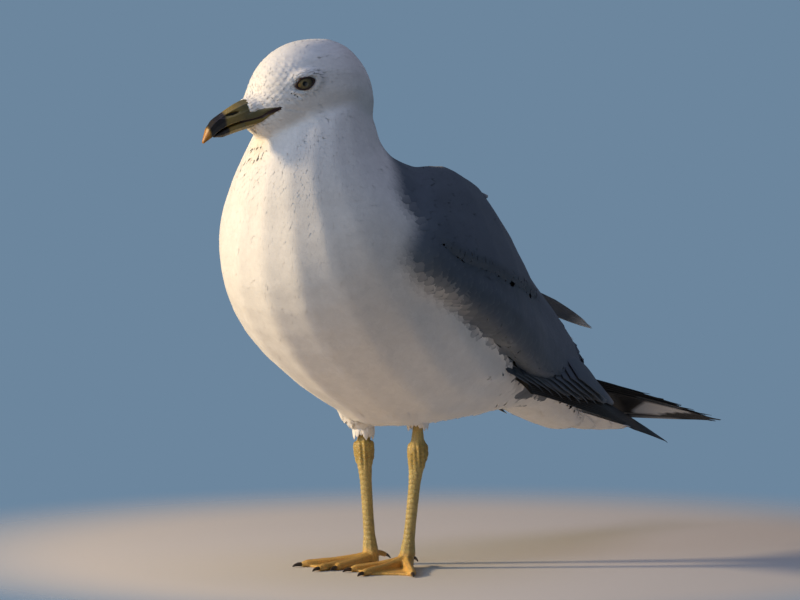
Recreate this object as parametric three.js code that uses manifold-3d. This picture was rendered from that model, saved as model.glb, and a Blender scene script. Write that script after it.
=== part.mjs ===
// A standing ring-billed gull, life size, in millimetres.
// The bird faces -Y, its left side is +X, and its soles rest on the floor at Z = 0.
import * as THREE from 'three';
import { LoftGeometry } from 'three/addons/geometries/LoftGeometry.js';
import { mergeVertices } from 'three/addons/utils/BufferGeometryUtils.js';
import Module from 'manifold-3d';

const wasm = await Module();
wasm.setup();

// ---------------------------------------------------------------- driving sizes

const GAP = 0.3;                // clear space between neighbouring solids
const RING_POINTS = 18;         // points round a section of the body

const HEAD_TURN = 19;           // degrees that the head looks to the bird's right
const BILL_DROOP = 13;          // degrees that the bill points below level
const CULMEN_BASE = new THREE.Vector3(-16.4, -107.9, 262.4);   // where the forehead meets the bill

const EYE_RADIUS = 6.2;
const EYE_BEHIND_BILL = 28.2;
const EYE_ABOVE_BILL = 1.6;
const EYE_FROM_MIDDLE = 15.4;

const STANCE = [-4.2, 6];       // middle of the feet, from the body's middle plane and Y = 0
const ANKLE = { out: 18, back: 2.3, height: 62.7, radius: 5.8 };
const SHANK_RADIUS = 3.1;
const THIGH = { out: 19, top: 104, radius: 15, cuffRadius: 5.2 };

const TOE_RADIUS = 2.5;
const TOE_LENGTHS = { inner: 35, middle: 44, outer: 40 };      // without the claw
const CLAW_LENGTH = 5;
const PAD = { height: 6.9, radius: 4.4 };
const WEB = { thickness: 1.3, reach: 0.93, sag: 0.16 };        // reach and sag as shares of a toe
const HIND_TOE = { length: 7, out: 3, height: 6.4, radius: 1.9 };

// "foot" is the heel pad, out from the middle of the stance and along Y. Toe angles are degrees
// outward from straight ahead, and "cuff" is the height where the thigh's feathers end.
const LEGS = {
  left: { side: 1, foot: [13, -1.5], toes: { inner: -22, middle: 4, outer: 41 }, cuff: 77 },
  right: { side: -1, foot: [13.5, 3], toes: { inner: -3, middle: 4, outer: 34 }, cuff: 71 },
};

// Sections of the neck and trunk, from inside the head to under the tail. Each one runs from
// a point on the back to a point on the throat or belly, both given as [y, z] in the middle
// plane. "half" is half its width, and "widest" says how far down the section that width is.
const BODY = [
  { back: [-39, 262], front: [-92, 252], half: 26.5, widest: 0.5 },
  { back: [-32, 248.5], front: [-104, 237], half: 32, widest: 0.5 },
  { back: [-31, 237], front: [-112, 217], half: 39.5, widest: 0.5 },
  { back: [-23, 229.5], front: [-114, 198], half: 48.5, widest: 0.5 },
  { back: [-7, 223], front: [-115, 177], half: 56.5, widest: 0.5 },
  { back: [14, 217], front: [-111, 155], half: 62.5, widest: 0.5 },
  { back: [36, 204], front: [-97, 133], half: 65, widest: 0.52 },
  { back: [57, 185], front: [-74, 112], half: 63.5, widest: 0.54 },
  { back: [77, 165], front: [-43, 93], half: 57, widest: 0.55 },
  { back: [97, 145], front: [-6, 77.5], half: 48, widest: 0.55 },
  { back: [114, 128], front: [32, 75], half: 39.5, widest: 0.52 },
  { back: [129, 112], front: [66, 77.5], half: 32, widest: 0.5 },
  { back: [143, 98], front: [101, 76], half: 26, widest: 0.5 },
  { back: [156, 84], front: [131, 65], half: 20, widest: 0.5 },
  { back: [168, 73], front: [158, 59.5], half: 14, widest: 0.5 },
];
const NECK_END = 3;             // station where the neck meets the trunk
const NECK_RINGS = 6;
const TRUNK_RINGS = 20;

// Sections of the head: distance behind the bill, height of its top and bottom, half width.
const HEAD = [
  { at: -1, top: 261.5, bottom: 250, half: 5 },
  { at: 3, top: 267, bottom: 244, half: 9 },
  { at: 10, top: 277.8, bottom: 240, half: 15 },
  { at: 20, top: 286.6, bottom: 237, half: 20 },
  { at: 33, top: 291.7, bottom: 235, half: 24 },
  { at: 46, top: 292.5, bottom: 234, half: 26 },
  { at: 58, top: 291, bottom: 234, half: 25.5 },
  { at: 67.3, top: 284.7, bottom: 236, half: 22 },
  { at: 74.6, top: 274, bottom: 241, half: 16.5 },
  { at: 77.8, top: 264, bottom: 250, half: 8.5 },
];
const HEAD_RINGS = 12;

// The bill in its own plane: distance ahead of the culmen base, upper and lower edge, half width.
const UPPER_BILL = {
  rings: 12,
  topShare: 0.85,
  rows: [
    { at: -17, top: -9.2, bottom: -10.3, half: 9.5 },
    { at: -10, top: -6.8, bottom: -10.4, half: 9 },
    { at: -4, top: -2.4, bottom: -10.4, half: 8 },
    { at: 1, top: -0.2, bottom: -10.3, half: 7 },
    { at: 8, top: -1.4, bottom: -10.3, half: 5.8 },
    { at: 15, top: -2.7, bottom: -10.6, half: 4.9 },
    { at: 20, top: -4.2, bottom: -11.2, half: 4.4 },
    { at: 24.4, top: -6.2, bottom: -12.6, half: 3.8 },
    { at: 27.4, top: -8.6, bottom: -14.3, half: 3.1 },
    { at: 30.1, top: -11.7, bottom: -15.6, half: 2.1 },
    { at: 31.8, top: -14.8, bottom: -16.2, half: 0.8 },
  ],
};
const LOWER_BILL = {
  rings: 9,
  topShare: 0.2,
  rows: [
    { at: -17, top: -10.6, bottom: -11.6, half: 9.2 },
    { at: -8, top: -10.7, bottom: -14.2, half: 8.4 },
    { at: 1, top: -10.6, bottom: -15.8, half: 6.6 },
    { at: 8, top: -10.6, bottom: -15.9, half: 5.4 },
    { at: 14, top: -10.9, bottom: -16, half: 4.6 },
    { at: 18, top: -11.4, bottom: -16.3, half: 4 },
    { at: 21.5, top: -12.2, bottom: -15.9, half: 3.2 },
    { at: 24.5, top: -13.4, bottom: -14.8, half: 1.6 },
  ],
};

// The folded wing from the wrist to the tertial tips: its lower and upper edge, how far it
// bulges outward, and how far it reaches inward before the trunk cuts it off.
const WING = [
  { lower: [63, -66, 176], upper: [59, -63, 186], bulge: 1.5, depth: 4 },
  { lower: [67, -59, 167], upper: [49, -50, 204], bulge: 9, depth: 10 },
  { lower: [69.5, -46, 158], upper: [34, -32, 217], bulge: 15.5, depth: 14 },
  { lower: [70, -24, 147], upper: [22, -8, 219], bulge: 19.5, depth: 14 },
  { lower: [67, 5, 132], upper: [15, 24, 215.5], bulge: 21, depth: 14 },
  { lower: [59, 42, 113], upper: [10, 58, 200.5], bulge: 19, depth: 14 },
  { lower: [48, 76, 97], upper: [5, 92, 170.5], bulge: 13.5, depth: 12 },
  { lower: [38, 110, 90], upper: [3, 122, 146], bulge: 9, depth: 8 },
  { lower: [28, 145, 83], upper: [3, 152, 121.5], bulge: 5, depth: 3 },
  { lower: [19, 172, 78], upper: [4, 176, 100.5], bulge: 2.5, depth: 1.2 },
  { lower: [13, 188, 76], upper: [8, 188, 84], bulge: 0.8, depth: 0.6 },
];
const WING_RINGS = 14;

// Feathers that end the wing: base and tip of each shaft, and the vane's width.
const TERTIALS = [
  { base: [34, 62, 122], tip: [34, 132, 84], width: 26 },
  { base: [26, 95, 118], tip: [24, 166, 79], width: 25 },
  { base: [16, 120, 112], tip: [12, 200, 73], width: 24 },
];
// One long shoulder feather of the right wing stands away from the back.
const LOOSE_FEATHER = { base: [12, 112, 146], tip: [10, 201, 113], width: 10 };

const FEATHER_THICKNESS = 1.6;

// The folded primaries: the longest at the bottom, each shorter one above and inside the last.
// The wing tips cross over the tail, the right one above the left and more fanned out.
const WING_TIPS = {
  left: { tip: [-15, 279, 44], fan: 1.2 },
  right: { tip: [-15, 283, 59], fan: 3 },
};
const PRIMARIES = { base: [46, 62, 97], width: 26, thick: 1.8, tilt: 36, shorter: [0, 12, 32, 57] };

// The closed tail: a middle feather with pairs beside it, each pair a little lower and shorter.
const TAIL = { start: 118, height: 87, length: 90, drop: 19, pairs: 3, spread: 16, width: 19, thick: 2 };

// ---------------------------------------------------------------- shape helpers

const radians = THREE.MathUtils.degToRad;
const vector = (x, y, z) => new THREE.Vector3(x, y, z);

// Values along a table of stations, read at any place between the first and last row.
function smooth(rows, places) {
  const width = rows[0].length;
  const values = rows.flat();
  const curve = new THREE.CubicInterpolant(places, values, width, new Array(width));
  return (place) => Array.from(curve.evaluate(place));
}

function steps(from, to, count) {
  return Array.from({ length: count }, (_, i) => from + ((to - from) * i) / (count - 1));
}

// A ring of points round a centre: "above" and "below" are its reach along up, "half" along side.
function ring({ centre, side, up, half, above, below, points = RING_POINTS, power = 1 }) {
  return Array.from({ length: points }, (_, i) => {
    const angle = (i / points) * 2 * Math.PI;
    const rise = Math.sign(Math.cos(angle)) * Math.abs(Math.cos(angle)) ** power;
    const spread = Math.sign(Math.sin(angle)) * Math.abs(Math.sin(angle)) ** power;
    return centre.clone()
      .addScaledVector(up, rise * (rise > 0 ? above : below))
      .addScaledVector(side, spread * half);
  });
}

function enclosedVolume(geometry) {
  const place = geometry.getAttribute('position');
  const index = geometry.getIndex();
  const corner = [vector(), vector(), vector()];
  let volume = 0;
  for (let i = 0; i < index.count; i += 3) {
    corner.forEach((point, k) => point.fromBufferAttribute(place, index.getX(i + k)));
    volume += corner[0].dot(corner[1].cross(corner[2])) / 6;
  }
  return volume;
}

// Keeps only positions, joins equal corners and turns the faces outward.
function closed(geometry) {
  const plain = new THREE.BufferGeometry();
  plain.setAttribute('position', geometry.getAttribute('position'));
  if (geometry.getIndex()) plain.setIndex(geometry.getIndex());
  const merged = mergeVertices(plain, 1e-4);
  if (enclosedVolume(merged) < 0) merged.setIndex(Array.from(merged.getIndex().array).reverse());
  return merged;
}

function middleOf(points) {
  return points.reduce((sum, point) => sum.add(point), vector()).divideScalar(points.length);
}

// A solid skinned over rings, which have to turn the right way round its course.
function loft(rings) {
  const half = Math.floor(rings.length / 2);
  const points = rings[half];
  const centre = middleOf(points);
  const quarter = points[Math.floor(points.length / 4)].clone().sub(centre);
  const turn = points[0].clone().sub(centre).cross(quarter);
  const course = middleOf(rings[half]).sub(middleOf(rings[half - 1]));
  const ordered = turn.dot(course) > 0 ? rings : rings.map((each) => [...each].reverse());
  return closed(new LoftGeometry(ordered, { capStart: true, capEnd: true }));
}

function toSolid(geometry) {
  const vertProperties = new Float32Array(geometry.getAttribute('position').array);
  const triVerts = new Uint32Array(geometry.getIndex().array);
  return new wasm.Manifold(new wasm.Mesh({ numProp: 3, vertProperties, triVerts }));
}

function toGeometry(solid) {
  const { vertProperties, triVerts } = solid.getMesh();
  const geometry = new THREE.BufferGeometry();
  geometry.setAttribute('position', new THREE.BufferAttribute(vertProperties, 3));
  geometry.setIndex(new THREE.BufferAttribute(triVerts, 1));
  return geometry;
}

function joined(parts) {
  return toGeometry(parts.map(toSolid).reduce((whole, part) => whole.add(part)));
}

function cut(body, ...tools) {
  return toGeometry(tools.map(toSolid).reduce((whole, tool) => whole.subtract(tool), toSolid(body)));
}

// The left side's shape turned into the right side's.
function mirrored(geometry) {
  const copy = geometry.clone().applyMatrix4(new THREE.Matrix4().makeScale(-1, 1, 1));
  return closed(copy);
}

// ---------------------------------------------------------------- trunk and neck

const bodyAt = smooth(
  BODY.map(({ back, front, half, widest }) => [...back, ...front, half, widest]),
  BODY.map((_, i) => i),
);

function bodyRing(station, grow = 0) {
  const [backY, backZ, frontY, frontZ, half, widest] = bodyAt(station);
  const back = vector(0, backY, backZ);
  const front = vector(0, frontY, frontZ);
  const length = back.distanceTo(front);
  return ring({
    centre: back.clone().lerp(front, widest),
    side: vector(1, 0, 0),
    up: back.clone().sub(front).normalize(),
    half: half + grow,
    above: length * widest + grow,
    below: length * (1 - widest) + grow,
  });
}

function bodyPiece(from, to, rings, grow = 0) {
  return loft(steps(from, to, rings).map((station) => bodyRing(station, grow)));
}

// ---------------------------------------------------------------- head, bill and eyes

const headForward = vector(-Math.sin(radians(HEAD_TURN)), -Math.cos(radians(HEAD_TURN)), 0);
const headSide = vector(Math.cos(radians(HEAD_TURN)), -Math.sin(radians(HEAD_TURN)), 0);
const headUp = vector(0, 0, 1);
const billForward = headForward.clone().multiplyScalar(Math.cos(radians(BILL_DROOP)))
  .addScaledVector(headUp, -Math.sin(radians(BILL_DROOP)));
const billUp = headForward.clone().multiplyScalar(Math.sin(radians(BILL_DROOP)))
  .addScaledVector(headUp, Math.cos(radians(BILL_DROOP)));

const headAt = smooth(
  HEAD.map(({ top, bottom, half }) => [top, bottom, half]),
  HEAD.map(({ at }) => at),
);

function headPiece(grow = 0) {
  const first = HEAD[0].at;
  const last = HEAD.at(-1).at;
  const rings = steps(first, last, HEAD_RINGS).map((at) => {
    const [top, bottom, half] = headAt(at);
    const level = THREE.MathUtils.lerp(bottom, top, 0.46);
    const centre = CULMEN_BASE.clone().addScaledVector(headForward, -at).setZ(level);
    return ring({
      centre,
      side: headSide,
      up: headUp,
      half: half + grow,
      above: top - level + grow,
      below: level - bottom + grow,
    });
  });
  return loft(rings);
}

// Half of the bill. "topShare" is how much of its depth lies above its widest level: the upper
// half is widest near its bottom, the lower half near its top.
function billPiece({ rows, rings, topShare }, grow = 0) {
  const at = smooth(rows.map(({ top, bottom, half }) => [top, bottom, half]), rows.map((row) => row.at));
  return loft(steps(rows[0].at, rows.at(-1).at, rings).map((place, i) => {
    const [top, bottom, half] = at(place);
    const depth = top - bottom;
    const level = bottom + depth * (1 - topShare);
    const back = i === 0 ? grow : 0;
    return ring({
      centre: CULMEN_BASE.clone().addScaledVector(billForward, place - back)
        .addScaledVector(billUp, level),
      side: headSide,
      up: billUp,
      half: half + grow,
      above: depth * topShare + grow,
      below: depth * (1 - topShare) + grow,
      points: 10,
      power: 0.8,
    });
  }));
}

function eyeBall(side, grow = 0) {
  const ball = new THREE.SphereGeometry(EYE_RADIUS + grow, 12, 7);
  const centre = CULMEN_BASE.clone()
    .addScaledVector(billForward, -EYE_BEHIND_BILL)
    .addScaledVector(billUp, EYE_ABOVE_BILL)
    .addScaledVector(headSide, side * EYE_FROM_MIDDLE);
  ball.translate(centre.x, centre.y, centre.z);
  return closed(ball);
}

// ---------------------------------------------------------------- wings

const wingAt = smooth(
  WING.map(({ lower, upper, bulge, depth }) => [...lower, ...upper, bulge, depth]),
  WING.map((_, i) => i),
);

function wingShell(grow = 0) {
  const rings = steps(0, WING.length - 1, WING_RINGS).map((station) => {
    const [lx, ly, lz, ux, uy, uz, bulge, depth] = wingAt(station);
    const lower = vector(lx, ly, lz);
    const upper = vector(ux, uy, uz);
    const chord = upper.clone().sub(lower);
    const outward = vector(chord.z, 0, -chord.x).normalize();
    return ring({
      centre: lower.clone().lerp(upper, 0.5),
      side: chord.clone().normalize(),
      up: outward,
      half: chord.length() / 2 + grow,
      above: bulge + grow,
      below: depth + grow,
      points: 14,
      power: 0.9,
    });
  });
  return loft(rings);
}

// ---------------------------------------------------------------- single feathers

// A flat feather along a bent shaft. "facing" is the way its upper face looks.
function featherBlade({
  base, tip, facing, width, bow = 0, arch = 0, blunt = 0.5, thick = FEATHER_THICKNESS, grow = 0,
}) {
  const along = tip.clone().sub(base);
  const across = along.clone().cross(facing).normalize();
  const normal = across.clone().cross(along).normalize();
  const rings = steps(0, 1, 6).map((t) => {
    const taper = Math.min(1, ((1 - t) / (1 - blunt)) ** 0.6);
    const half = Math.max(0.4, (width / 2) * taper * (0.7 + 0.3 * Math.min(1, t * 3))) + grow;
    const swing = 4 * t * (1 - t);
    const height = (thick / 2) * (0.5 + 0.5 * taper) + grow;
    return ring({
      centre: base.clone().addScaledVector(along, t).addScaledVector(across, bow * swing)
        .addScaledVector(normal, arch * swing),
      side: across,
      up: normal,
      half,
      above: height,
      below: height,
      points: 6,
    });
  });
  return loft(rings);
}

function wingWhole(looseFeathers, grow = 0) {
  const blades = [...TERTIALS, ...looseFeathers].map(({ base, tip, width }) => featherBlade({
    base: vector(...base),
    tip: vector(...tip),
    facing: vector(0.7, 0.35, 0.6),
    width,
    arch: 3,
    blunt: 0.6,
    grow,
  }));
  return joined([wingShell(grow), ...blades]);
}

function primaryFan({ tip, fan }, grow = 0) {
  const tilt = radians(PRIMARIES.tilt);
  const facing = vector(Math.sin(tilt), 0.2, Math.cos(tilt)).normalize();
  const base = vector(...PRIMARIES.base);
  const end = vector(...tip);
  const back = base.clone().sub(end).normalize();
  const inward = end.clone().sub(base).cross(facing).normalize();
  return joined(PRIMARIES.shorter.map((shorter, i) => featherBlade({
    base: base.clone().addScaledVector(facing, i * 0.8).addScaledVector(inward, i * -1.5),
    tip: end.clone().addScaledVector(back, shorter).addScaledVector(facing, i * 0.8)
      .addScaledVector(inward, i * -fan),
    facing,
    width: PRIMARIES.width,
    bow: -3,
    arch: 2,
    blunt: 0.72,
    thick: PRIMARIES.thick,
    grow,
  })));
}

// ---------------------------------------------------------------- tail

function tailFan() {
  const drop = radians(TAIL.drop);
  const blades = steps(-1, 1, 2 * TAIL.pairs + 1).map((share) => {
    const reach = TAIL.length - 5 * Math.abs(share);
    const base = vector(share * (TAIL.spread - 6), TAIL.start, TAIL.height - Math.abs(share) * 2.5);
    const tip = base.clone().add(vector(share * 6, reach * Math.cos(drop), -reach * Math.sin(drop)));
    return featherBlade({
      base,
      tip,
      facing: vector(share * 0.25, 0.2, 1),
      width: TAIL.width,
      blunt: 0.88,
      thick: TAIL.thick,
    });
  });
  return joined(blades);
}

// ---------------------------------------------------------------- legs and feet

// A round limb through points with a radius at each, squashed against the floor at Z = 0.
function limb(points, { sides = 8, count = 4, grow = 0 } = {}) {
  const at = smooth(points.map(({ place, radius }) => [...place, radius]), points.map((_, i) => i));
  const rings = steps(0, points.length - 1, count).map((station, i, all) => {
    const [x, y, z, radius] = at(station);
    const ahead = vector(...at(all[Math.min(i + 1, all.length - 1)]));
    const behind = vector(...at(all[Math.max(i - 1, 0)]));
    const along = ahead.sub(behind).normalize();
    const guide = Math.abs(along.z) > 0.8 ? vector(0, 1, 0) : vector(0, 0, 1);
    const side = along.clone().cross(guide).normalize();
    const skin = ring({
      centre: vector(x, y, z),
      side,
      up: side.clone().cross(along).normalize(),
      half: radius + grow,
      above: radius + grow,
      below: radius + grow,
      points: sides,
    });
    return skin.map((point) => point.setZ(Math.max(point.z, 0)));
  });
  return loft(rings);
}

const inStance = (geometry) => geometry.translate(...STANCE, 0);
const heelOf = ({ side, foot }) => vector(side * foot[0], foot[1], 0);

function thigh({ side, cuff }) {
  const { out, top, radius, cuffRadius } = THIGH;
  return limb([
    { place: [side * out, -4, top], radius },
    { place: [side * out, -2, top - 12], radius: radius * 0.9 },
    { place: [side * (out + ANKLE.out) / 2, 1, (top - 12 + cuff) / 2], radius: radius * 0.63 },
    { place: [side * ANKLE.out, ANKLE.back, cuff], radius: cuffRadius },
  ], { sides: 12, count: 7 });
}

// The bare leg from inside the feathered thigh, over the knobbly ankle, down to the foot's pad.
function shank(leg, grow = 0) {
  const ankle = vector(leg.side * ANKLE.out, ANKLE.back, ANKLE.height);
  const heel = heelOf(leg);
  const down = (height) => heel.clone().lerp(ankle, height / ANKLE.height).setZ(height).toArray();
  const up = (height) => [ankle.x, ankle.y, height];
  const bottom = PAD.height + GAP;
  return limb([
    { place: up(leg.cuff + 4 + grow), radius: SHANK_RADIUS },
    { place: up((leg.cuff + ANKLE.height) / 2 + 1.5), radius: SHANK_RADIUS },
    { place: up(ANKLE.height + 2.5), radius: ANKLE.radius },
    { place: down(ANKLE.height - 4), radius: ANKLE.radius * 0.9 },
    { place: down(ANKLE.height - 13), radius: SHANK_RADIUS * 1.12 },
    { place: down(35), radius: SHANK_RADIUS },
    { place: down(18), radius: SHANK_RADIUS },
    { place: down(bottom + 3), radius: SHANK_RADIUS * 1.3 },
    { place: down(bottom - grow), radius: PAD.radius },
  ], { count: 14, grow });
}

// A point on the line of a toe, "reach" ahead of the heel.
function alongToe(leg, name, reach, height = 0) {
  const angle = radians(leg.toes[name]);
  return heelOf(leg).add(vector(leg.side * Math.sin(angle) * reach, -Math.cos(angle) * reach, height));
}

function toe(leg, name) {
  const length = TOE_LENGTHS[name];
  const place = (reach, height) => alongToe(leg, name, reach, height).toArray();
  return limb([
    { place: place(-1, 4.2), radius: TOE_RADIUS * 1.5 },
    { place: place(length * 0.3, 2.9), radius: TOE_RADIUS * 1.12 },
    { place: place(length * 0.65, 2), radius: TOE_RADIUS },
    { place: place(length * 0.9, 1.7), radius: TOE_RADIUS },
    { place: place(length, 1.5), radius: TOE_RADIUS * 0.56 },
  ], { sides: 7, count: 6 });
}

// The web between two toes, a thin plate whose front edge sags between the toe ends.
function web(leg, first, second) {
  const heel = alongToe(leg, first, -1);
  const one = alongToe(leg, first, TOE_LENGTHS[first] * WEB.reach);
  const two = alongToe(leg, second, TOE_LENGTHS[second] * WEB.reach);
  const sag = one.clone().lerp(two, 0.5).lerp(heel, WEB.sag);
  const outline = new THREE.Shape();
  outline.moveTo(heel.x, heel.y);
  outline.lineTo(one.x, one.y);
  outline.quadraticCurveTo(sag.x, sag.y, two.x, two.y);
  outline.closePath();
  return closed(new THREE.ExtrudeGeometry(outline, {
    depth: WEB.thickness,
    bevelEnabled: false,
    curveSegments: 3,
  }));
}

// A point on the small hind toe, which starts above the heel and does not reach the floor.
function alongHindToe(leg, share) {
  const { length, out, height } = HIND_TOE;
  return heelOf(leg).add(vector(-leg.side * out * share, 2 + length * share, height - 1.8 * share ** 2));
}

function foot(leg) {
  const heel = heelOf(leg);
  const pad = limb([
    { place: [heel.x, heel.y, PAD.height], radius: PAD.radius },
    { place: [heel.x, heel.y - 0.5, PAD.height / 2], radius: PAD.radius * 1.05 },
    { place: [heel.x, heel.y - 1, 0], radius: PAD.radius },
  ]);
  const hindToe = limb([0, 0.6, 1].map((share) => ({
    place: alongHindToe(leg, share).toArray(),
    radius: HIND_TOE.radius * (1 - 0.3 * share),
  })), { sides: 6 });
  return joined([
    pad,
    ...Object.keys(TOE_LENGTHS).map((name) => toe(leg, name)),
    web(leg, 'inner', 'middle'),
    web(leg, 'middle', 'outer'),
    hindToe,
  ]);
}

function claw(leg, name) {
  const root = TOE_LENGTHS[name] + GAP;
  const place = (share, height) => alongToe(leg, name, root + CLAW_LENGTH * share, height).toArray();
  return limb([
    { place: place(0, 1.6), radius: 1.25 },
    { place: place(0.55, 1.5), radius: 1 },
    { place: place(1, 0.5), radius: 0.35 },
  ], { sides: 6 });
}

function hindClaw(leg) {
  const root = alongHindToe(leg, 1).add(vector(leg.side * 1.2, 2 * GAP, 0.2));
  return limb([
    { place: root.toArray(), radius: 1.1 },
    { place: [root.x - leg.side * 0.4, root.y + 2.6, root.z - 0.8], radius: 0.8 },
    { place: [root.x - leg.side * 0.6, root.y + 4.6, root.z - 2.5], radius: 0.35 },
  ], { sides: 6 });
}

// ---------------------------------------------------------------- finishes and assembly

const FINISH = {
  white: { color: 0xf2efe8, roughness: 0.85 },
  grey: { color: 0x9aa1a8, roughness: 0.8 },
  black: { color: 0x23211f, roughness: 0.6 },
  bill: { color: 0xb9a13c, roughness: 0.4 },
  leg: { color: 0xd0b24a, roughness: 0.55 },
  horn: { color: 0x2c2620, roughness: 0.4 },
  eye: { color: 0xb8ae86, roughness: 0.1 },
};

const gull = new THREE.Group();

function addMesh(name, geometry, finish) {
  const material = new THREE.MeshStandardMaterial({ ...FINISH[finish], metalness: 0 });
  const mesh = new THREE.Mesh(geometry, material);
  mesh.name = name;
  gull.add(mesh);
}

const lastStation = BODY.length - 1;
const trunk = bodyPiece(NECK_END + 0.02, lastStation, TRUNK_RINGS);
const trunkSpace = bodyPiece(NECK_END, lastStation, TRUNK_RINGS, GAP);
const headSpace = headPiece(GAP);
const neck = cut(bodyPiece(0, NECK_END, NECK_RINGS), headSpace);
const head = cut(
  headPiece(),
  billPiece(UPPER_BILL, GAP),
  billPiece(LOWER_BILL, GAP),
  eyeBall(1, GAP),
  eyeBall(-1, GAP),
);

addMesh('trunk', trunk, 'white');
addMesh('neck', neck, 'white');
addMesh('head', head, 'white');
addMesh('upper_bill', billPiece(UPPER_BILL), 'bill');
addMesh('lower_bill', cut(billPiece(LOWER_BILL), billPiece(UPPER_BILL, GAP)), 'bill');
addMesh('tail', cut(tailFan(), trunkSpace), 'white');

for (const [name, leg] of Object.entries(LEGS)) {
  addMesh(`${name}_eye`, eyeBall(leg.side), 'eye');
  const shankSpace = inStance(shank(leg, GAP));
  addMesh(`${name}_thigh`, cut(inStance(thigh(leg)), trunkSpace, shankSpace), 'white');
  addMesh(`${name}_shank`, cut(inStance(shank(leg)), trunkSpace), 'leg');
  addMesh(`${name}_foot`, cut(inStance(foot(leg)), shankSpace), 'leg');
  for (const toeName of Object.keys(TOE_LENGTHS)) {
    addMesh(`${name}_${toeName}_claw`, inStance(claw(leg, toeName)), 'horn');
  }
  addMesh(`${name}_hind_claw`, inStance(hindClaw(leg)), 'horn');
}

const neckSpace = bodyPiece(0, NECK_END, NECK_RINGS, GAP);
const wingSpace = wingWhole([], GAP);
const leftWing = cut(wingWhole([]), trunkSpace, neckSpace);
const rightWing = cut(wingWhole([LOOSE_FEATHER]), trunkSpace, neckSpace);
const leftPrimaries = cut(primaryFan(WING_TIPS.left), trunkSpace, wingSpace);
const leftFanSpace = mirrored(primaryFan(WING_TIPS.left, GAP));
const rightPrimaries = cut(primaryFan(WING_TIPS.right), trunkSpace, wingSpace, leftFanSpace);
addMesh('left_wing', leftWing, 'grey');
addMesh('right_wing', mirrored(rightWing), 'grey');
addMesh('left_primaries', leftPrimaries, 'black');
addMesh('right_primaries', mirrored(rightPrimaries), 'black');

// The origin is on the floor, under the middle of the bird's box.
const box = new THREE.Box3().setFromObject(gull);
const middle = box.getCenter(vector());
gull.position.set(-middle.x, -middle.y, 0);

export default gull;
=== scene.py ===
"""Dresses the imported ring-billed gull: skin, plumage, flight feathers, bill, eyes and legs.

Shapes are worked out in bird millimetres: the bird faces -Y, its left side is +X, the floor is
Z = 0, and Y counts from the line between its ankles. to_row() turns them into the row frame.
"""

import math

import bpy
import numpy as np
from bpy.props import FloatProperty, FloatVectorProperty, PointerProperty
from bpy.types import Operator, Panel, PropertyGroup
from mathutils import Matrix, Vector
from mathutils.bvhtree import BVHTree
from mathutils.kdtree import KDTree


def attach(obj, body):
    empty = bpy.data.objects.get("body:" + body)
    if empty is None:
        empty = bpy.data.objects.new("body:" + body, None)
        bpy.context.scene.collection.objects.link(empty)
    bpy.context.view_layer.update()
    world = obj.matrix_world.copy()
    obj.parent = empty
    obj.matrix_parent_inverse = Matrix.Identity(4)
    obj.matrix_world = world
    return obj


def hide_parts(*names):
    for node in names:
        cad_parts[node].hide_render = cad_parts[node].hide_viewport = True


bl_info = {
    "name": "Ring-billed gull",
    "version": (1, 0, 0),
    "blender": (4, 5, 0),
    "location": "View3D > Sidebar > Gull",
    "description": "Skin, plumage, bill, eyes and legs of a standing ring-billed gull",
    "category": "Object",
}

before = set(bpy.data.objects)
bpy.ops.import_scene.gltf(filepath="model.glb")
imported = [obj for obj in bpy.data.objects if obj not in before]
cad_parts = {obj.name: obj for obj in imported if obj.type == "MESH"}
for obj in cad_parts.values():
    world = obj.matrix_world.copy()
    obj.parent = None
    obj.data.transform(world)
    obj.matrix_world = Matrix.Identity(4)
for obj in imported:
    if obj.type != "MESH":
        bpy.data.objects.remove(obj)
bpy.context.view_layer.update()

MM = 0.001
ANKLE_LINE = 74.475              # mm from the row frame's origin back to the ankle line
SIDES = {"left": 1, "right": -1}
rng = np.random.default_rng(417)
made = {}                        # the skin's surface, shared by the operators


# ---------------------------------------------------------------- the head's directions

HEAD_TURN = math.radians(19)
BILL_DROOP = math.radians(13)
CULMEN_BASE = np.array([-16.4, -107.9, 262.4])
UP = np.array([0.0, 0.0, 1.0])
HEAD_FORWARD = np.array([-math.sin(HEAD_TURN), -math.cos(HEAD_TURN), 0.0])
HEAD_SIDE = np.array([math.cos(HEAD_TURN), -math.sin(HEAD_TURN), 0.0])
BILL_FORWARD = HEAD_FORWARD * math.cos(BILL_DROOP) - UP * math.sin(BILL_DROOP)
BILL_UP = HEAD_FORWARD * math.sin(BILL_DROOP) + UP * math.cos(BILL_DROOP)
EYE_RADIUS = 6.2
EYE_PLACE = {name: CULMEN_BASE - BILL_FORWARD * 28.2 + BILL_UP * 1.6 + HEAD_SIDE * 15.4 * side
             for name, side in SIDES.items()}


def bill_place(ahead, height, out):
    """A point given along the bill, above its ridge's base and out to the bird's left."""
    return CULMEN_BASE + BILL_FORWARD * ahead + BILL_UP * height + HEAD_SIDE * out


def bill_reading(points):
    """How far points lie along the bill, above its ridge's base and out to the left."""
    off = points - CULMEN_BASE
    return off @ BILL_FORWARD, off @ BILL_UP, off @ HEAD_SIDE


# ---------------------------------------------------------------- small helpers

def to_row(points):
    """Bird millimetres as metres in the row frame."""
    return (np.asarray(points, float) - (0, ANKLE_LINE, 0)) * MM


def to_bird(points):
    """Metres in the row frame as bird millimetres."""
    return np.asarray(points, float) / MM + (0, ANKLE_LINE, 0)


def unit(vectors):
    """Vectors brought to length 1."""
    return vectors / np.maximum(np.linalg.norm(vectors, axis=-1, keepdims=True), 1e-9)


def ramp(value, low, high):
    """0 below low, 1 above high, smooth between."""
    share = np.clip((value - low) / (high - low), 0, 1)
    return share * share * (3 - 2 * share)


def mix(first, second, share):
    """The first value at share 0, the second at share 1."""
    return first + (second - first) * share


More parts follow.
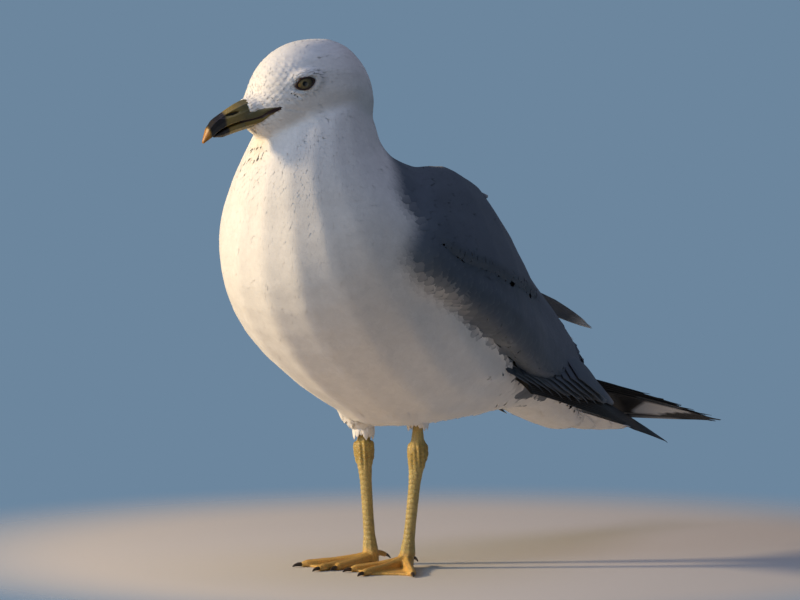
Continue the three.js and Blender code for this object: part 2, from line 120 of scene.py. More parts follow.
def srgb(code):
    """A hex colour as linear RGB."""
    parts = np.array([int(code[i:i + 2], 16) for i in (1, 3, 5)]) / 255
    return np.where(parts <= 0.04045, parts / 12.92, ((parts + 0.055) / 1.055) ** 2.4)


def tint(colour):
    """A colour setting as linear RGB numbers."""
    return np.array(colour[:3], float)


# ---------------------------------------------------------------- meshes

def mesh_piece(name, points, quads, tris=(), colours=None, maps=None, material=None,
               facing=None):
    """A finished mesh object from points in bird millimetres. facing gives the outward
    directions that the points shade by."""
    quads = np.asarray(quads, np.int32).reshape(-1, 4)
    tris = np.asarray(tris, np.int32).reshape(-1, 3)
    corners = np.concatenate([quads.ravel(), tris.ravel()])
    starts = np.concatenate([np.arange(len(quads)) * 4, len(quads) * 4 + np.arange(len(tris)) * 3])
    mesh = bpy.data.meshes.new(name)
    mesh.vertices.add(len(points))
    mesh.vertices.foreach_set("co", to_row(points).astype(np.float32).ravel())
    mesh.loops.add(len(corners))
    mesh.loops.foreach_set("vertex_index", corners)
    mesh.polygons.add(len(starts))
    mesh.polygons.foreach_set("loop_start", starts.astype(np.int32))
    mesh.polygons.foreach_set("use_smooth", np.ones(len(starts), bool))
    if colours is not None:
        layer = mesh.color_attributes.new("plumage", "FLOAT_COLOR", "POINT")
        rgba = np.ones((len(points), 4), np.float32)
        rgba[:, :3] = colours
        layer.data.foreach_set("color", rgba.ravel())
    for map_name, places in (maps or {}).items():
        layer = mesh.uv_layers.new(name=map_name)
        layer.data.foreach_set("uv", np.asarray(places, np.float32)[corners].ravel())
    mesh.update(calc_edges=True)
    mesh.validate()
    if facing is not None:
        layer = mesh.attributes.new("custom_normal", "FLOAT_VECTOR", "POINT")
        layer.data.foreach_set("vector", facing.astype(np.float32).ravel())
        mesh.update()
    piece = bpy.data.objects.new(name, mesh)
    bpy.context.scene.collection.objects.link(piece)
    if material is not None:
        mesh.materials.append(material)
    return piece


def fit_out(piece, slot, *nodes):
    """Fixes a piece to the bird and hides the solids that it stands for. The slot for its finish is not
    used.
    """
    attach(piece, "root")
    if nodes:
        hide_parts(*nodes)


def read_all(items, field, width=1, kind=np.int32):
    """One field of all of a mesh's points, corners or faces, in one row."""
    values = np.empty(len(items) * width, kind)
    items.foreach_get(field, values)
    return values


def node_shape(name, grow=0.0):
    """A solid's merged points, in bird millimetres, and its triangles."""
    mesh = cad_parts[name].data
    points = read_all(mesh.vertices, "co", 3, float)
    mesh.calc_loop_triangles()
    tris = read_all(mesh.loop_triangles, "vertices", 3)
    rounded, index = np.unique(np.round(to_bird(points.reshape(-1, 3)), 3), axis=0,
                               return_inverse=True)
    tris = index.ravel()[tris].reshape(-1, 3)
    tris = tris[(tris[:, 0] != tris[:, 1]) & (tris[:, 1] != tris[:, 2]) & (tris[:, 2] != tris[:, 0])]
    if grow:
        rounded = rounded + point_normals(rounded, tris) * grow
    return rounded, tris


def gathered(faces, vectors, count):
    """The direction of the sum of its faces' vectors, for each of count points."""
    total = np.zeros((count, 3))
    for k in range(faces.shape[1]):
        for axis in range(3):
            total[:, axis] += np.bincount(faces[:, k], vectors[:, axis], count)
    return unit(total)


def point_normals(points, faces):
    """Outward directions at the points of a mesh of triangles or quads."""
    corner = points[faces]
    if faces.shape[1] == 3:
        across = np.cross(corner[:, 1] - corner[:, 0], corner[:, 2] - corner[:, 0])
    else:
        across = np.cross(corner[:, 2] - corner[:, 0], corner[:, 3] - corner[:, 1])
    return gathered(faces, across, len(points))


def ahead_of(points, origin, direction):
    """Presses points that lie past a plane back onto it."""
    past = np.maximum((points - origin) @ direction, 0)
    return points - past[:, None] * direction


def plain_object(name, points, faces):
    """An object for modifiers to work on: bird millimetres as metres, and nothing moved."""
    mesh = bpy.data.meshes.new(name)
    mesh.from_pydata((np.asarray(points) * MM).tolist(), [], faces.tolist())
    piece = bpy.data.objects.new(name, mesh)
    bpy.context.scene.collection.objects.link(piece)
    return piece


def taken_apart(piece):
    """The points and quads of a piece after its modifiers, and the piece removed."""
    graph = bpy.context.evaluated_depsgraph_get()
    mesh = bpy.data.meshes.new_from_object(piece.evaluated_get(graph))
    points = read_all(mesh.vertices, "co", 3, float)
    corners = read_all(mesh.loops, "vertex_index")
    sizes = read_all(mesh.polygons, "loop_total")
    if not (sizes == 4).all():
        starts = np.concatenate([[0], np.cumsum(sizes)[:-1]])
        rows = [corners[[s, s + 1, s + 2, s + n - 1]] for s, n in zip(starts, sizes)]
        corners = np.concatenate(rows)
    old = piece.data
    bpy.data.objects.remove(piece)
    bpy.data.meshes.remove(old)
    bpy.data.meshes.remove(mesh)
    return points.reshape(-1, 3) / MM, corners.reshape(-1, 4)


def fused(parts, voxel):
    """One closed surface of quads round several overlapping closed shapes."""
    points, faces, count = [], [], 0
    for part_points, part_faces in parts:
        points.append(part_points)
        faces.append(part_faces + count)
        count += len(part_points)
    piece = plain_object("fused", np.concatenate(points), np.concatenate(faces))
    remesh = piece.modifiers.new("fuse", "REMESH")
    remesh.mode = "VOXEL"
    remesh.voxel_size = voxel * MM
    remesh.adaptivity = 0
    return taken_apart(piece)


def edges_of(faces):
    """Each edge of a mesh once, as its two points."""
    pairs = np.concatenate([faces[:, [k, (k + 1) % faces.shape[1]]] for k in range(faces.shape[1])])
    return np.unique(np.sort(pairs, axis=1), axis=0)


def both_ways(edges):
    """The near and far point of each edge, taken from either end."""
    return edges.T.ravel(), edges[:, ::-1].T.ravel()


def neighbour_mean(values, edges):
    """The mean of each point's neighbours' values."""
    first, second = both_ways(edges)
    count = np.maximum(np.bincount(first, minlength=len(values)), 1)
    if values.ndim == 1:
        return np.bincount(first, values[second], len(values)) / count
    sums = [np.bincount(first, values[second, k], len(values)) for k in range(values.shape[1])]
    return np.stack(sums, 1) / count[:, None]


def relaxed(points, edges, passes, freedom=1.0):
    """Evens out a surface without shrinking it. freedom holds chosen points back."""
    freedom = np.broadcast_to(np.asarray(freedom, float), len(points))[:, None]
    for _ in range(passes):
        for push in (0.5, -0.52):
            points = points + (neighbour_mean(points, edges) - points) * push * freedom
    return points


# ---------------------------------------------------------------- Geometry Nodes

def new_tree(name, sizes):
    """A node tree with a geometry in and out and named size inputs."""
    tree = bpy.data.node_groups.new(name, "GeometryNodeTree")
    tree.interface.new_socket("Geometry", in_out="INPUT", socket_type="NodeSocketGeometry")
    for label, value in sizes.items():
        kind = "NodeSocketInt" if isinstance(value, int) else "NodeSocketFloat"
        socket = tree.interface.new_socket(label, in_out="INPUT", socket_type=kind)
        socket.default_value = value
    tree.interface.new_socket("Geometry", in_out="OUTPUT", socket_type="NodeSocketGeometry")
    return tree


def add_node(tree, kind, settings=None, links=None):
    """Adds a node. settings name its properties or input values, links name its inputs."""
    node = tree.nodes.new(kind)
    for key, value in (settings or {}).items():
        if isinstance(key, str) and hasattr(node, key):
            setattr(node, key, value)
        else:
            node.inputs[key].default_value = value
    for key, source in (links or {}).items():
        tree.links.new(source, node.inputs[key])
    return node


def run_tree(piece, tree, values):
    """Puts a tree on a piece, with its named inputs set by their sockets' identifiers."""
    nodes = piece.modifiers.new(tree.name, "NODES")
    nodes.node_group = tree
    for item in tree.interface.items_tree:
        if item.in_out == "INPUT" and item.name in values:
            nodes[item.identifier] = values[item.name]


def shrinking_tree():
    """Takes an even layer off a solid: its inside is filled and read at a set depth."""
    tree = new_tree("take_off_a_layer", {"Cell": 0.002, "Band": 0.006, "Level": 0.5})
    entry = add_node(tree, "NodeGroupInput")
    filled = add_node(tree, "GeometryNodeMeshToVolume", {"resolution_mode": "VOXEL_SIZE"}, {
        "Mesh": entry.outputs["Geometry"],
        "Voxel Size": entry.outputs["Cell"],
        "Interior Band Width": entry.outputs["Band"],
    })
    inner = add_node(tree, "GeometryNodeVolumeToMesh", {"resolution_mode": "VOXEL_SIZE"}, {
        "Volume": filled.outputs["Volume"],
        "Voxel Size": entry.outputs["Cell"],
        "Threshold": entry.outputs["Level"],
    })
    add_node(tree, "NodeGroupOutput", None, {"Geometry": inner.outputs["Mesh"]})
    return tree


# ---------------------------------------------------------------- markings

# The edge of the grey mantle and folded wing in side view, as (y, z): down the shoulder and
# along the flank to the tertials, then back over the top.
MANTLE_EDGE = np.array([
    (-31, 240), (-41, 229), (-50, 222), (-58, 212), (-58, 203), (-56, 196), (-61, 189),
    (-65, 183), (-66, 176), (-59, 167), (-42, 158), (-21, 145), (-8, 137), (10, 130), (24, 124),
    (39, 114), (50, 104), (90, 92), (205, 66), (215, 90), (190, 130), (120, 190), (60, 225),
    (0, 245),
])


def inside_by(points, outline):
    """How far points lie inside a closed outline, in its own plane; outside is negative."""
    start, end = outline, np.roll(outline, -1, axis=0)
    nearest = np.full(len(points), np.inf)
    odd = np.zeros(len(points), bool)
    for a, b in zip(start, end):
        along = b - a
        share = np.clip(((points - a) @ along) / (along @ along), 0, 1)
        nearest = np.minimum(nearest, np.linalg.norm(points - a - share[:, None] * along, axis=1))
        crosses = (a[1] > points[:, 1]) != (b[1] > points[:, 1])
        rise = b[1] - a[1] if b[1] != a[1] else 1e-9
        odd ^= crosses & (points[:, 0] < a[0] + (points[:, 1] - a[1]) * along[0] / rise)
    return np.where(odd, nearest, -nearest)


def greyness(points, soft=2.0):
    """1 on the grey mantle and wings, 0 on white plumage."""
    belly = ramp(np.abs(points[:, 0]), 30, 26) * ramp(points[:, 2], 100, 96)
    return ramp(inside_by(points[:, 1:], MANTLE_EDGE), -soft, soft) * (1 - belly)


def markings(points, soft=2.0):
    """The plumage colour at points on the body, as linear RGB."""
    look = bpy.context.scene.gull_plumage
    white, grey = tint(look.white), tint(look.grey)
    return mix(white[None], grey[None], greyness(points, soft)[:, None])


# ---------------------------------------------------------------- materials

def new_material(name):
    """A material with its shader joined to its output, and nothing set."""
    material = bpy.data.materials.new(name)
    material.use_nodes = True
    tree = material.node_tree
    tree.nodes.clear()
    shader = add_node(tree, "ShaderNodeBsdfPrincipled")
    add_node(tree, "ShaderNodeOutputMaterial", None, {"Surface": shader.outputs["BSDF"]})
    return material, tree, shader


def object_noise(tree, size_mm, detail=3.0, roughness=0.55, stretch=None):
    """Noise on object coordinates whose blotches are about size_mm across."""
    place = add_node(tree, "ShaderNodeTexCoord").outputs["Object"]
    if stretch:
        place = add_node(tree, "ShaderNodeMapping", {"Scale": stretch}, {"Vector": place}).outputs[0]
    noise = add_node(tree, "ShaderNodeTexNoise", {
        "Scale": 1 / (size_mm * MM), "Detail": detail, "Roughness": roughness,
    }, {"Vector": place})
    return noise.outputs["Fac"]


def dress(tree, shader, shades, rough, relief, settings):
    """What all the finishes share: the colour painted on the points, made darker and lighter
    by patterns, and roughness and relief that follow a pattern. shades and rough hold
    (pattern, least, most), relief is (pattern, strength, depth in mm), and settings are what
    is the same all over the surface."""
    colour = add_node(tree, "ShaderNodeAttribute", {"attribute_name": "plumage"}).outputs["Color"]
    for pattern, least, most in shades:
        tone = add_node(tree, "ShaderNodeMapRange", {"To Min": least, "To Max": most},
                        {"Value": pattern})
        colour = add_node(tree, "ShaderNodeVectorMath", {"operation": "SCALE"},
                          {0: colour, "Scale": tone.outputs["Result"]}).outputs[0]
    tree.links.new(colour, shader.inputs["Base Color"])
    pattern, least, most = rough
    gloss = add_node(tree, "ShaderNodeMapRange", {"To Min": least, "To Max": most},
                     {"Value": pattern})
    tree.links.new(gloss.outputs["Result"], shader.inputs["Roughness"])
    pattern, strength, depth = relief
    bump = add_node(tree, "ShaderNodeBump", {"Strength": strength, "Distance": depth * MM},
                    {"Height": pattern})
    tree.links.new(bump.outputs["Normal"], shader.inputs["Normal"])
    for socket, value in settings.items():
        shader.inputs[socket].default_value = value


BARB_SLANT = 0.9                 # how far a barb runs towards the tip for each mm across the vane
PLATE_MM = 1.25                  # width of a horny plate of the leg's skin


def feather_material(name, barb_mm, roughness, sheen, barb_bump, blotch):
    """Keratin barbs hooked into a vane. They scatter light softly, with fine lines that run
    out from the shaft, drawn at barb_mm so that they show."""
    material, tree, shader = new_material(name)
    vane = add_node(tree, "ShaderNodeUVMap", {"uv_map": "Vane"}).outputs["UV"]
    parts = add_node(tree, "ShaderNodeSeparateXYZ", None, {"Vector": vane})
    across = add_node(tree, "ShaderNodeMath", {"operation": "ABSOLUTE"}, {0: parts.outputs["X"]})
    along = add_node(tree, "ShaderNodeMath", {"operation": "MULTIPLY_ADD", 1: -BARB_SLANT},
                     {0: across.outputs[0], 2: parts.outputs["Y"]})
    lines = add_node(tree, "ShaderNodeMath", {"operation": "MULTIPLY", 1: math.tau / (barb_mm * MM)},
                     {0: along.outputs[0]})
    barbs = add_node(tree, "ShaderNodeMath", {"operation": "SINE"}, {0: lines.outputs[0]})
    soft = object_noise(tree, blotch, 4.0)
    fine = object_noise(tree, 1.3, 2.0)
    height = add_node(tree, "ShaderNodeMath", {"operation": "MULTIPLY_ADD", 1: 0.5},
                      {0: barbs.outputs[0], 2: fine})
    dress(tree, shader, ((soft, 0.9, 1.08), (fine, 0.95, 1.04)),
          (fine, roughness - 0.08, roughness + 0.08), (height.outputs[0], barb_bump, 0.12),
          {"Sheen Weight": sheen, "Sheen Roughness": 0.5, "Specular IOR Level": 0.3})
    return material


def skin_material():
    """Thin bird skin and down under the coat, in the same markings as the plumage."""
    material, tree, shader = new_material("downy_skin")
    down = object_noise(tree, 2.2, 4.0)
    dress(tree, shader, ((down, 0.82, 1.0),), (down, 0.75, 0.95), (down, 0.5, 0.4),
          {"Specular IOR Level": 0.2})
    return material


def horn_material(name, roughness, streak_mm, contrast):
    """Keratin sheath of bill or claw: satin, a little see-through, with growth streaks."""
    material, tree, shader = new_material(name)
    streaks = object_noise(tree, streak_mm, 5.0, 0.6, (1.0, 0.35, 1.0))
    grain = object_noise(tree, 0.5, 3.0)
    dress(tree, shader, ((streaks, 1 - contrast, 1 + contrast),),
          (grain, roughness - 0.1, roughness + 0.12), (streaks, 0.35, 0.1),
          {"IOR": 1.54, "Subsurface Weight": 0.12, "Subsurface Radius": (0.8, 0.5, 0.25),
           "Subsurface Scale": 1.5 * MM})
    return material


def leg_material():
    """Scaled leg skin: small horny plates with darker creases, satin and slightly waxy."""
    material, tree, shader = new_material("scaly_leg_skin")
    place = add_node(tree, "ShaderNodeTexCoord").outputs["Object"]
    plates = add_node(tree, "ShaderNodeTexVoronoi",
                      {"feature": "DISTANCE_TO_EDGE", "Scale": 1 / (PLATE_MM * MM)}, {"Vector": place})
    crease = add_node(tree, "ShaderNodeMapRange", {"From Max": 0.18}, {
        "Value": plates.outputs["Distance"]}).outputs["Result"]
    blotch = object_noise(tree, 7.0, 5.0, 0.65)
    dress(tree, shader, ((crease, 0.74, 1.0), (blotch, 0.7, 1.25)), (blotch, 0.3, 0.5),
          (crease, 0.6, 0.18),
          {"Subsurface Weight": 0.15, "Subsurface Radius": (1.0, 0.45, 0.15),
           "Subsurface Scale": 2 * MM, "IOR": 1.45})
    return material


def eye_material():
    """Wet eye: a smooth clear film over the iris, which keeps its highlight small and sharp."""
    material, tree, shader = new_material("wet_eye")
    fine = object_noise(tree, 0.35, 3.0)
    dress(tree, shader, ((fine, 0.8, 1.15),), (fine, 0.12, 0.2), (fine, 0.08, 0.05),
          {"Coat Weight": 0.35, "Coat Roughness": 0.03, "Coat IOR": 1.38})
    return material


def rim_material():
    """Bare orbital skin, finely wrinkled, which keeps it matt."""
    material, tree, shader = new_material("orbital_skin")
    fine = object_noise(tree, 0.5, 4.0)
    dress(tree, shader, ((fine, 0.7, 1.25),), (fine, 0.4, 0.6), (fine, 0.5, 0.1), {})
    return material


# ---------------------------------------------------------------- the skin

# The coat's depth as a share of the body's, and the length of its feathers in mm, both by the
# distance in mm from the bill's base.
DEPTH_SHARES = ((6, 30, 62, 110, 160), (0.16, 0.3, 0.52, 0.85, 1.0))
FEATHER_LENGTHS = ((8, 22, 45, 75, 120, 190, 290), (2.6, 4.2, 6.5, 9.5, 13.5, 17, 22))
LEG_DEPTH, LID_DEPTH = 1.1, 0.35                     # the coat's depth there, in mm
THIGH_TOP = 92                                       # level where the thighs leave the belly

CUFF = {"left": 78.5, "right": 71.0}                 # how far down the feathered thighs reach
THIGH_MIDDLE = {"left": (15.2, 6.5), "right": (-22.2, 8.0)}     # (x, y) at that level

LID_FRONT, LID_REAR, LID_HIGH = 4.5, 5.6, 3.05       # reach of the gap between the lids, mm
BALL_RADIUS = 7.6                # the eyeball's face is flatter than the solid that stands for it
BALL_BACK = BALL_RADIUS - EYE_RADIUS


def bill_distance(points):
    """How far points lie from the base of the bill's ridge."""
    return np.linalg.norm(points - CULMEN_BASE, axis=1)


def coat_depth(points):
    """How deep the skin lies under the coat's tips: least on the face, most on the body."""
    body = bpy.context.scene.gull_plumage.coat_depth / MM
    depth = np.interp(bill_distance(points), *DEPTH_SHARES) * body
    leg = ramp(points[:, 2], THIGH_TOP, 80)
    return mix(mix(depth, LEG_DEPTH, leg), LID_DEPTH, near_eye(points))


def feather_length(points):
    """Length of a body feather in millimetres, by how far it grows from the bill."""
    return np.interp(bill_distance(points), *FEATHER_LENGTHS)


def feather_edge(height):
    """How far forward the feathers reach on the side of the bill, by height."""
    return np.interp(height, [-19.6, -12.9, -10, -7, -4.5, -2.5, -0.5],
                     [-0.4, 0.8, 1.6, 2.8, 3.8, 4.2, 1.6])


def lie_of_the_coat(points, faces, edges):
    """How far along the bird each point is, from 0 at the bill to 1 at the tail, as heat would
    settle between them, and the direction in which that grows."""
    nose = np.linalg.norm(points - bill_place(-4, -6, 0), axis=1) < 12
    rear = points[:, 1] > points[:, 1].max() - 7
    fixed = nose | rear
    first, second = both_ways(edges)
    degree = np.bincount(first, minlength=len(points)).astype(float)
    level = np.where(rear, 1.0, 0.0)
    free = ~fixed

    def pull(values):
        """How far each value stands above its neighbours' together."""
        return degree * values - np.bincount(first, values[second], len(values))

    rest = np.where(free, -pull(level), 0)
    way, size = rest.copy(), rest @ rest
    for _ in range(900):
        effect = np.where(free, pull(way), 0)
        step = size / (way @ effect)
        level = level + way * step
        rest = rest - effect * step
        new_size = rest @ rest
        if new_size < 1e-10:
            break
        way = rest + way * (new_size / size)
        size = new_size
    corner, value = points[faces], level[faces]
    first_way, second_way = corner[:, 2] - corner[:, 0], corner[:, 3] - corner[:, 1]
    across = np.cross(first_way, second_way)
    area = np.maximum((across ** 2).sum(1), 1e-12)[:, None]
    slope = (np.cross(across, first_way) * (value[:, 3] - value[:, 1])[:, None]
             - np.cross(across, second_way) * (value[:, 2] - value[:, 0])[:, None]) / area
    heading = gathered(faces, slope, len(points))
    normals = point_normals(points, faces)
    leg = ramp(points[:, 2], 94, 82)[:, None]
    start = bill_place(9, -6, 0)
    face = ramp(np.linalg.norm(points - bill_place(0, -7, 0), axis=1), 19, 12)[:, None]
    rump = ramp(points[:, 1], points[:, 1].max() - 16, points[:, 1].max() - 6)[:, None]
    rearward, downward = np.array([[0, 0.94, -0.33]]), np.array([[0, 0.12, -1.0]])
    passes, evening, pull_to = 14, 0.7, 0.8
    for _ in range(passes):
        heading = unit(mix(heading, neighbour_mean(heading, edges), evening))
        heading = unit(mix(heading, unit(points - start), face * pull_to))
        heading = unit(mix(heading, rearward, rump * pull_to))
        heading = unit(mix(heading, downward, leg * pull_to))
        heading = unit(heading - normals * (heading * normals).sum(1)[:, None])
    return level, heading, normals


def flat_map(points, level):
    """An unwrap of the skin's own shape: round the body and along it, each from 0 to 1."""
    number = 40
    bands = np.clip((level * number).astype(int), 0, number - 1)
    count = np.maximum(np.bincount(bands, minlength=number), 1)
    middle = np.stack([np.bincount(bands, points[:, k], number) / count for k in range(3)], 1)
    for _ in range(3):
        middle[1:-1] = (middle[:-2] + middle[1:-1] * 2 + middle[2:]) / 4
    course = unit(np.gradient(middle, axis=0))
    at = np.clip(level * number - 0.5, 0, number - 1)
    centre, along = (np.stack([np.interp(at, range(number), line[:, k]) for k in range(3)], 1)
                     for line in (middle, course))
    along = unit(along)
    side = np.array([1.0, 0, 0])
    back = unit(np.cross(side[None], along))
    off = points - centre
    turn = np.arctan2(off @ side, (off * -back).sum(1)) / math.tau + 0.5
    return np.stack([turn, level], 1)


def eye_openness(points, name):
    """How far out from the middle of an eye's opening points lie: 1 on its rim. Also the
    distance from the eye's axis, and along it from the middle of the eye."""
    off = points - EYE_PLACE[name]
    axis, long_way, short_way = eye_axes(name)
    across, above = off @ long_way, off @ short_way
    wide = np.where(across > 0, LID_FRONT, LID_REAR)
    return np.hypot(across / wide, above / LID_HIGH), np.hypot(across, above), off @ axis


def ball_level(flat):
    """How far out the eyeball's face lies, at a distance from its axis."""
    return np.sqrt(np.maximum(BALL_RADIUS ** 2 - flat ** 2, 1)) - BALL_BACK


def eye_axes(name):
    """Outward, forward and upward directions of an eye, its opening tipped down in front."""
    side = SIDES[name]
    aim = math.radians(24)
    out = unit(HEAD_SIDE * side * math.cos(aim) + HEAD_FORWARD * math.sin(aim) + UP * 0.04)
    forward = unit(np.cross(UP, out) * side)
    forward = forward if forward @ HEAD_FORWARD > 0 else -forward
    above = unit(np.cross(out, forward))
    above = above if above[2] > 0 else -above
    tip = math.radians(18)
    return (out, unit(forward * math.cos(tip) - above * math.sin(tip)),
            unit(above * math.cos(tip) + forward * math.sin(tip)))


# Raised folds of small feathers under the eye and on the cheek and the creases beside them:
# two ends (ahead of the bill's base, above it, out), half width and height, in mm.
FACE_FOLDS = (
    ((-19.6, -0.9, 18.6), (-23.8, -3.0, 21.0), 0.75, 0.75),
    ((-19.2, -2.4, 18.8), (-22.6, -4.6, 20.6), 0.55, -0.6),
    ((-21.0, -5.0, 19.8), (-24.2, -5.4, 21.4), 0.8, 0.35),
    ((-24.6, -15.2, 21.8), (-27.0, -18.6, 24.4), 1.5, 0.7),
    ((-27.2, -14.8, 23.2), (-31.0, -16.4, 25.0), 1.8, 0.35),
    ((-14.2, -8.4, 17.2), (-19.0, -10.6, 19.4), 0.6, -0.45),
    ((-19.0, -10.6, 19.4), (-25.0, -13.0, 22.6), 0.8, -0.35),
    ((-15.2, -6.2, 17.0), (-18.8, -7.0, 19.0), 0.9, 0.5),
    ((-12.4, -3.0, 14.6), (-14.2, -4.6, 15.8), 1.0, 0.5),
    ((-9.0, -3.4, 12.0), (-10.4, -1.4, 12.6), 0.9, 0.45),
    ((-17.4, -3.6, 17.6), (-18.6, -5.2, 18.6), 0.8, 0.45),
    ((-24.6, 7.4, 18.0), (-31.6, 5.4, 20.6), 1.6, 0.55),
)


def face_folds(points):
    """How far the feathers of the face stand up or sink in, in small folds and clumps."""
    ahead, height, out = bill_reading(points)
    region = ramp(ahead, -34, -22) * ramp(ahead, 3, -3) * ramp(height, -8, -3) * ramp(height, 24, 14)
    level = 0.13 * region * (np.sin(ahead * 1.9 + 0.9 * height) * np.sin(height * 1.6 + 0.4 * out + 1)
                            + 0.7 * np.sin(ahead * 1.0 - height * 1.3 + out * 0.8))
    here = np.stack([ahead, height, np.abs(out)], -1)
    for start, end, half, rise in FACE_FOLDS:
        start, run = np.array(start), np.subtract(end, start)
        share = np.clip((here - start) @ run / (run @ run), 0, 1)
        gap = np.linalg.norm(here - start - share[..., None] * run, axis=-1)
        level = level + 0.75 * rise * np.exp(-(gap / (1.15 * half)) ** 2)
    return level


def folded(points, normals):
    """Points of the face moved out or in by its folds, and their directions bent to match."""
    step = 0.2
    slope = np.stack([(face_folds(points + axis * step) - face_folds(points - axis * step)) / (2 * step)
                      for axis in np.eye(3)], -1)
    slope = slope - normals * (slope * normals).sum(-1)[..., None]
    return points + normals * face_folds(points)[..., None], unit(normals - slope * 0.8)


def grow_skin():
    """One skin over head, neck, trunk, thighs and arms, a coat's depth inside the solids."""
    take_off, cell = 3.0, 1.8     # depth of the layer taken off and the size of its cells, mm
    grow = 0.35                   # the solids swell by this first, so that they merge
    parts = [node_shape(name, grow) for name in
             ("trunk", "neck", "head", "left_wing", "right_wing")]
    for name in SIDES:
        parts.append(node_shape(f"{name}_eye", grow))
        for node in (f"{name}_thigh", f"{name}_shank"):
            points, faces = node_shape(node, grow)
            if points[:, 2].max() > CUFF[name] + 3:
                parts.append((ahead_of(points, np.array([0, 0, CUFF[name]]), -UP), faces))
    for name in ("upper_bill", "lower_bill"):
        points, faces = node_shape(name, 2.3)
        ahead, height, _ = bill_reading(points)
        past = np.maximum(ahead - feather_edge(height) - 1.6, 0)
        parts.append((points - past[:, None] * BILL_FORWARD, faces))
    points, faces = fused(parts, cell)
    points = relaxed(points, edges_of(faces), 6)
    piece = plain_object("inner", points, faces)
    run_tree(piece, shrinking_tree(), {"Cell": cell * MM, "Band": take_off * 2 * MM, "Level": 0.5})
    points, faces = taken_apart(piece)
    edges = edges_of(faces)
    reach = bill_distance(points)
    points = relaxed(points, edges, 14)
    points = relaxed(points, edges, 60, ramp(reach, 45, 95))
    bend = (np.exp(-((points[:, 1] + 60) / 18) ** 2) * ramp(np.abs(points[:, 0]), 28, 44)
            * ramp(points[:, 2], 138, 158) * ramp(points[:, 2], 232, 212))[:, None]
    for _ in range(90):
        points = mix(points, neighbour_mean(points, edges), 0.5 * bend)
    normals = point_normals(points, faces)
    points = points + normals * (take_off - grow - coat_depth(points))[:, None]
    points = relaxed(points, edges, 4)
    return points, faces, edges


def near_eye(points):
    """1 at the rim of either eye's opening, falling to 0 a few millimetres away."""
    near = np.zeros(len(points))
    for name in SIDES:
        rim, _, depth = eye_openness(points, name)
        near = np.maximum(near, ramp(rim, 2.5, 1.3) * (depth > 0))
    return near


def shape_eye_sockets(points):
    """Brings the skin to the lids' level round each eye and behind the eyeball's face inside."""
    for name in SIDES:
        rim, flat, depth = eye_openness(points, name)
        edge = ball_level(flat / np.maximum(rim, 0.3))
        around = mix(depth, edge - 0.3, ramp(rim, 2.4, 1.15))
        inside = np.minimum(depth, ball_level(flat) - 1.3)
        wanted = mix(inside, around, ramp(rim, 0.92, 1.12))
        shift = np.where((depth > 0) & (rim < 2.5), wanted - depth, 0)
        points = points + shift[:, None] * eye_axes(name)[0]
    return points


class SkinSurface:
    """The finished skin with what feathers need to know at any place on it."""

    def __init__(self, points, faces, level, heading, normals):
        self.points, self.faces = points, faces
        self.level, self.heading, self.normals = level, heading, normals
        self.flat = flat_map(points, level)
        self.tree = BVHTree.FromPolygons([Vector(p) for p in points], faces.tolist())
        corner = points[faces]
        self.centres = corner.mean(1)
        self.face_normals = unit(normals[faces].mean(1))
        self.face_heading = unit(heading[faces].mean(1))
        self.areas = np.linalg.norm(
            np.cross(corner[:, 2] - corner[:, 0], corner[:, 3] - corner[:, 1]), axis=1) / 2

    def scatter(self, wanted, spacing, tries=5.0):
        """Places on the skin about spacing apart, as (points, face numbers). wanted and
        spacing are given for each face."""
        dense = self.areas * wanted / spacing ** 2
        number = rng.poisson(dense * tries)
        face = np.repeat(np.arange(len(self.faces)), number)
        rng.shuffle(face)
        a, b = rng.random((2, len(face), 1))
        c = self.points[self.faces[face]]
        spots = (c[:, 0] * (1 - a) + c[:, 1] * a) * (1 - b) + (c[:, 3] * (1 - a) + c[:, 2] * a) * b
        finder = KDTree(len(spots))
        for i, spot in enumerate(spots):
            finder.insert(spot, i)
        finder.balance()
        kept = np.ones(len(spots), bool)
        chosen = []
        gaps = spacing[face]
        for i, spot in enumerate(spots):
            if not kept[i]:
                continue
            chosen.append(i)
            for _, j, _ in finder.find_range(spot, gaps[i]):
                if j > i:
                    kept[j] = False
        chosen = np.array(chosen, int)
        return spots[chosen], face[chosen]

    def walk(self, roots, headings, lengths, stations):
        """Follows the skin from each root: places and outward and forward directions there."""
        shape = (len(roots), len(stations), 3)
        path, normal, way = np.empty(shape), np.empty(shape), np.empty(shape)
        steps = np.diff(np.concatenate([[0], stations]))
        outward = [Vector(n) for n in self.face_normals]
        for i in range(len(roots)):
            spot, go = Vector(roots[i]), Vector(headings[i])
            for k, step in enumerate(steps):
                spot, _, face, _ = self.tree.find_nearest(spot + go * (step * lengths[i]))
                out = outward[face]
                go = (go - out * go.dot(out)).normalized()
                path[i, k], normal[i, k], way[i, k] = spot, out, go
        return path, normal, way

    def pressed(self, places):
        """The nearest places on the skin and the smooth outward directions there."""
        flat = places.reshape(-1, 3)
        spots, face = np.empty_like(flat), np.empty(len(flat), int)
        find = self.tree.find_nearest
        for i, place in enumerate(flat):
            spots[i], _, face[i], _ = find(place)
        corners = self.faces[face]
        gap = np.linalg.norm(self.points[corners] - spots[:, None], axis=2)
        share = 1 / (gap + 0.15) ** 2
        normal = unit((self.normals[corners] * share[..., None]).sum(1))
        return spots.reshape(places.shape), normal.reshape(places.shape)


# ---------------------------------------------------------------- vanes

